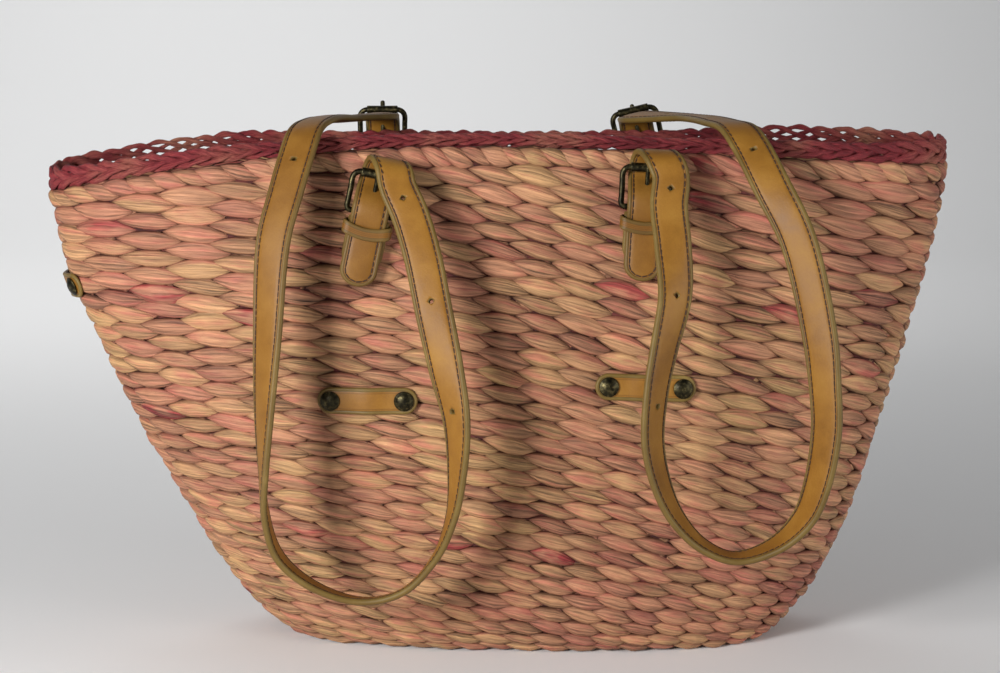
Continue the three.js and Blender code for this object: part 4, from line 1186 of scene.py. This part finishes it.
def turned_ring(name, middle, axis, profile, look, sides=40, closed=True):
    axis = unit(np.asarray(axis, float))
    one = unit(np.cross(axis, (0.3, 0.2, 0.93)))
    two = np.cross(axis, one)
    points, faces = [], []
    for i in range(sides):
        a = 2 * math.pi * i / sides
        for reach, rise in profile:
            points.append(np.asarray(middle) + axis * rise + reach * (math.cos(a) * one + math.sin(a) * two))
    ring = len(profile)
    for i in range(sides):
        j = (i + 1) % sides
        for k in range(ring if closed else ring - 1):
            m = (k + 1) % ring
            faces.append((i * ring + k, j * ring + k, j * ring + m, i * ring + m))
    made = mesh_object(name, points, faces, look=look)
    weld(made.data, 1e-7)
    return made


# Buckles: a bent wire frame with rounded corners, a rolled-sheet roller on its top bar, and a tongue that
# turns on the heel bar and rests on the roller. Sizes are in millimetres.
FRAME_WIDTH, FRAME_HEIGHT, SET_BACK = 29, 21, 1
WIRE, ROLLER_OUTER, TONGUE, CORNER = 1.55, 2.4, 1.2, 3.4
TONGUE_REACH = {"front_left": 24, "front_right": 24, "back_left": 26, "back_right": 24.4}
half = FRAME_WIDTH / 2 - 1.5
right_side = [(0, 0), (half - 3, 0), (half - 1, 0.2), (half, 1.6), (half, 6), (half, 12),
              (half, FRAME_HEIGHT - CORNER), (half - 0.35 * CORNER, FRAME_HEIGHT - 0.35 * CORNER),
              (half - CORNER, FRAME_HEIGHT), (5, FRAME_HEIGHT)]
loop = right_side + [(0, FRAME_HEIGHT)] + [(-a, u) for a, u in right_side[:0:-1]]
ROLL = [(1.95, 8.6), (2.15, 8.9), (2.4, 8.75), (2.45, 8.2), (2.4, 4.0), (2.4, -4.0), (2.45, -8.2),
        (2.4, -8.75), (2.15, -8.9), (1.95, -8.6)]
for name in BUCKLES:
    heel, ways, side = buckle_frame(name)
    rows = [(a, -SET_BACK * u / FRAME_HEIGHT, u) for a, u in loop]
    smooth = curve_through(rows[-2:] + rows + rows[:3], 5)[10:-10]
    ring = tube(f"buckle_{name}_wire", at_buckle(name, smooth[:-1]), np.full(len(smooth) - 1, WIRE / 1000),
                brass, closed=True)
    facing_out(ring)
    dress(ring, f"buckle_frame_{name}")
    roll_profile = [(r / 1000, x / 1000) for r, x in ROLL]
    roller = turned_ring(f"buckle_{name}_roll", at_buckle(name, (0, -SET_BACK, FRAME_HEIGHT)), ways[0],
                         roll_profile, brass)
    facing_out(roller)
    dress(roller, f"buckle_roller_{name}")
    rest = ROLLER_OUTER - SET_BACK + CLEARANCE + TONGUE
    reach = TONGUE_REACH[name]
    line = [(0, 2.0, 1.2), (0, 1.6, 4), (0, 1.7, 8), (0, 1.9, 12), (0, 2.3, 16), (0, rest, 20.4),
            (0, rest + 0.1, reach - 1.2), (0, rest - 0.2, reach)]
    smooth = curve_through(line, 5)
    radii = np.interp(smooth[:, 2], [0, 4, 18, reach - 1.5, reach - 0.5, reach],
                      [1.35, 1.1, 1.15, 1.35, 1.2, 0.7])
    arm = tube("arm", at_buckle(name, smooth), radii / 1000, brass)
    facing_out(arm)
    eye = turned_ring("eye", heel, ways[0], [(0.0019, 0.0017), (0.0025, 0.0021), (0.0032, 0.0017),
                                             (0.0032, -0.0017), (0.0025, -0.0021), (0.0019, -0.0017)], brass)
    facing_out(eye)
    tongue = joined(f"buckle_{name}_tongue", [arm, eye])
    dress(tongue, f"buckle_tongue_{name}")


# Riveted strips: short leather strips with round ends, arched a little off the wall, held by a domed rivet
# near each end. Two are on the front and one goes round the left end.
STRIP_LENGTH, STRIP_HALF, STRIP_THICKNESS, STRIP_ARCH = 0.054, 0.00725, 0.0022, 0.0016
STRIP_STEPS, RIVET_STEP, ARCH_START = 12, 1.6, 0.26
STRIP_PROFILE = [(0, 0), (0.2, 0.9), (0.6, 1.5), (1.1, 1.72), (1.5, 1.66), (1.75, 1.35), (2.0, 1.55),
                 (3.0, 1.72), (7.25, 1.85)]
RIVET_DOME = [(0.0, 0.0024), (0.0014, 0.00235), (0.0027, 0.00205), (0.0038, 0.0015), (0.0045, 0.0010),
              (0.0049, 0.00085), (0.0053, 0.0006), (0.00535, 0.0003), (0.0050, 0.0), (0.0, 0.0)]


def strip_stations(points, outs, ease):
    points, outs = np.array(points), np.array(outs)
    along = unit(np.vstack([points[1:], points[-1:]]) - np.vstack([points[:1], points[:-1]]))
    through = unit(outs - along * np.sum(outs * along, axis=1, keepdims=True))
    middle = np.clip((np.arange(len(points)) / STRIP_STEPS - ARCH_START) / (1 - 2 * ARCH_START), 0, 1)
    arch = STRIP_ARCH * np.sin(math.pi * middle) ** 2
    places = points + through * (STRIP_THICKNESS / 2 + CLEARANCE / 1000 + ease + arch)[:, None]
    return places, np.cross(through, along), through


def front_stations(across, up, tilt):
    points, outs = [], []
    for k in range(STRIP_STEPS + 1):
        away = (k / STRIP_STEPS - 0.5) * STRIP_LENGTH
        x, z = across * RIM_WIDTH + away, up * BASKET_HEIGHT + away * tilt
        point, step = np.array([x, wall_at(x, z, -1), z]), 0.002
        upward = np.array([x, wall_at(x, z + step, -1), z + step]) - point
        sideward = np.array([x + step, wall_at(x + step, z, -1), z]) - point
        points.append(point)
        outs.append(unit(np.cross(sideward, upward)))
    return strip_stations(points, outs, 0.0003)


def end_stations(share, spread):
    angles = math.pi + (np.arange(STRIP_STEPS + 1) / STRIP_STEPS - 0.5) * spread
    held = np.full(len(angles), share)
    return strip_stations(basket_point(angles, held), basket_normal(angles, held), -0.0005)


for name, (places, across, through) in (("front_left", front_stations(-0.176, 0.522, 0.015)),
                                        ("front_right", front_stations(0.12, 0.548, -0.04)),
                                        ("left_end", end_stations(0.81, 0.62))):
    smooth = curve_through(places, 4)
    blend = np.arange(len(smooth)) / 4
    ways = np.stack([np.interp(blend, range(len(across)), across[:, k]) for k in range(3)], -1)
    path = make_path(smooth, ways)
    strip = band(f"strip_{name}_leather", path, STRIP_HALF, STRIP_THICKNESS, (STRIP_HALF, STRIP_HALF),
                 leather, STRIP_PROFILE, mirrored(STRIP_PROFILE), 0.0015)
    dress(strip, f"strip_{name}")
    for end, k in (("a", RIVET_STEP), ("b", STRIP_STEPS - RIVET_STEP)):
        at = path_frame(path, np.array([k / STRIP_STEPS * path["run"][-1]]))
        seat = at["place"][0] + at["through"][0] * (STRIP_THICKNESS / 2 + CLEARANCE / 1000)
        rivet = turned_ring(f"rivet_{name}_{end}_dome", seat, at["through"][0], RIVET_DOME, brass,
                            closed=False)
        facing_out(rivet)
        dress(rivet, f"rivet_{name}_{end}")
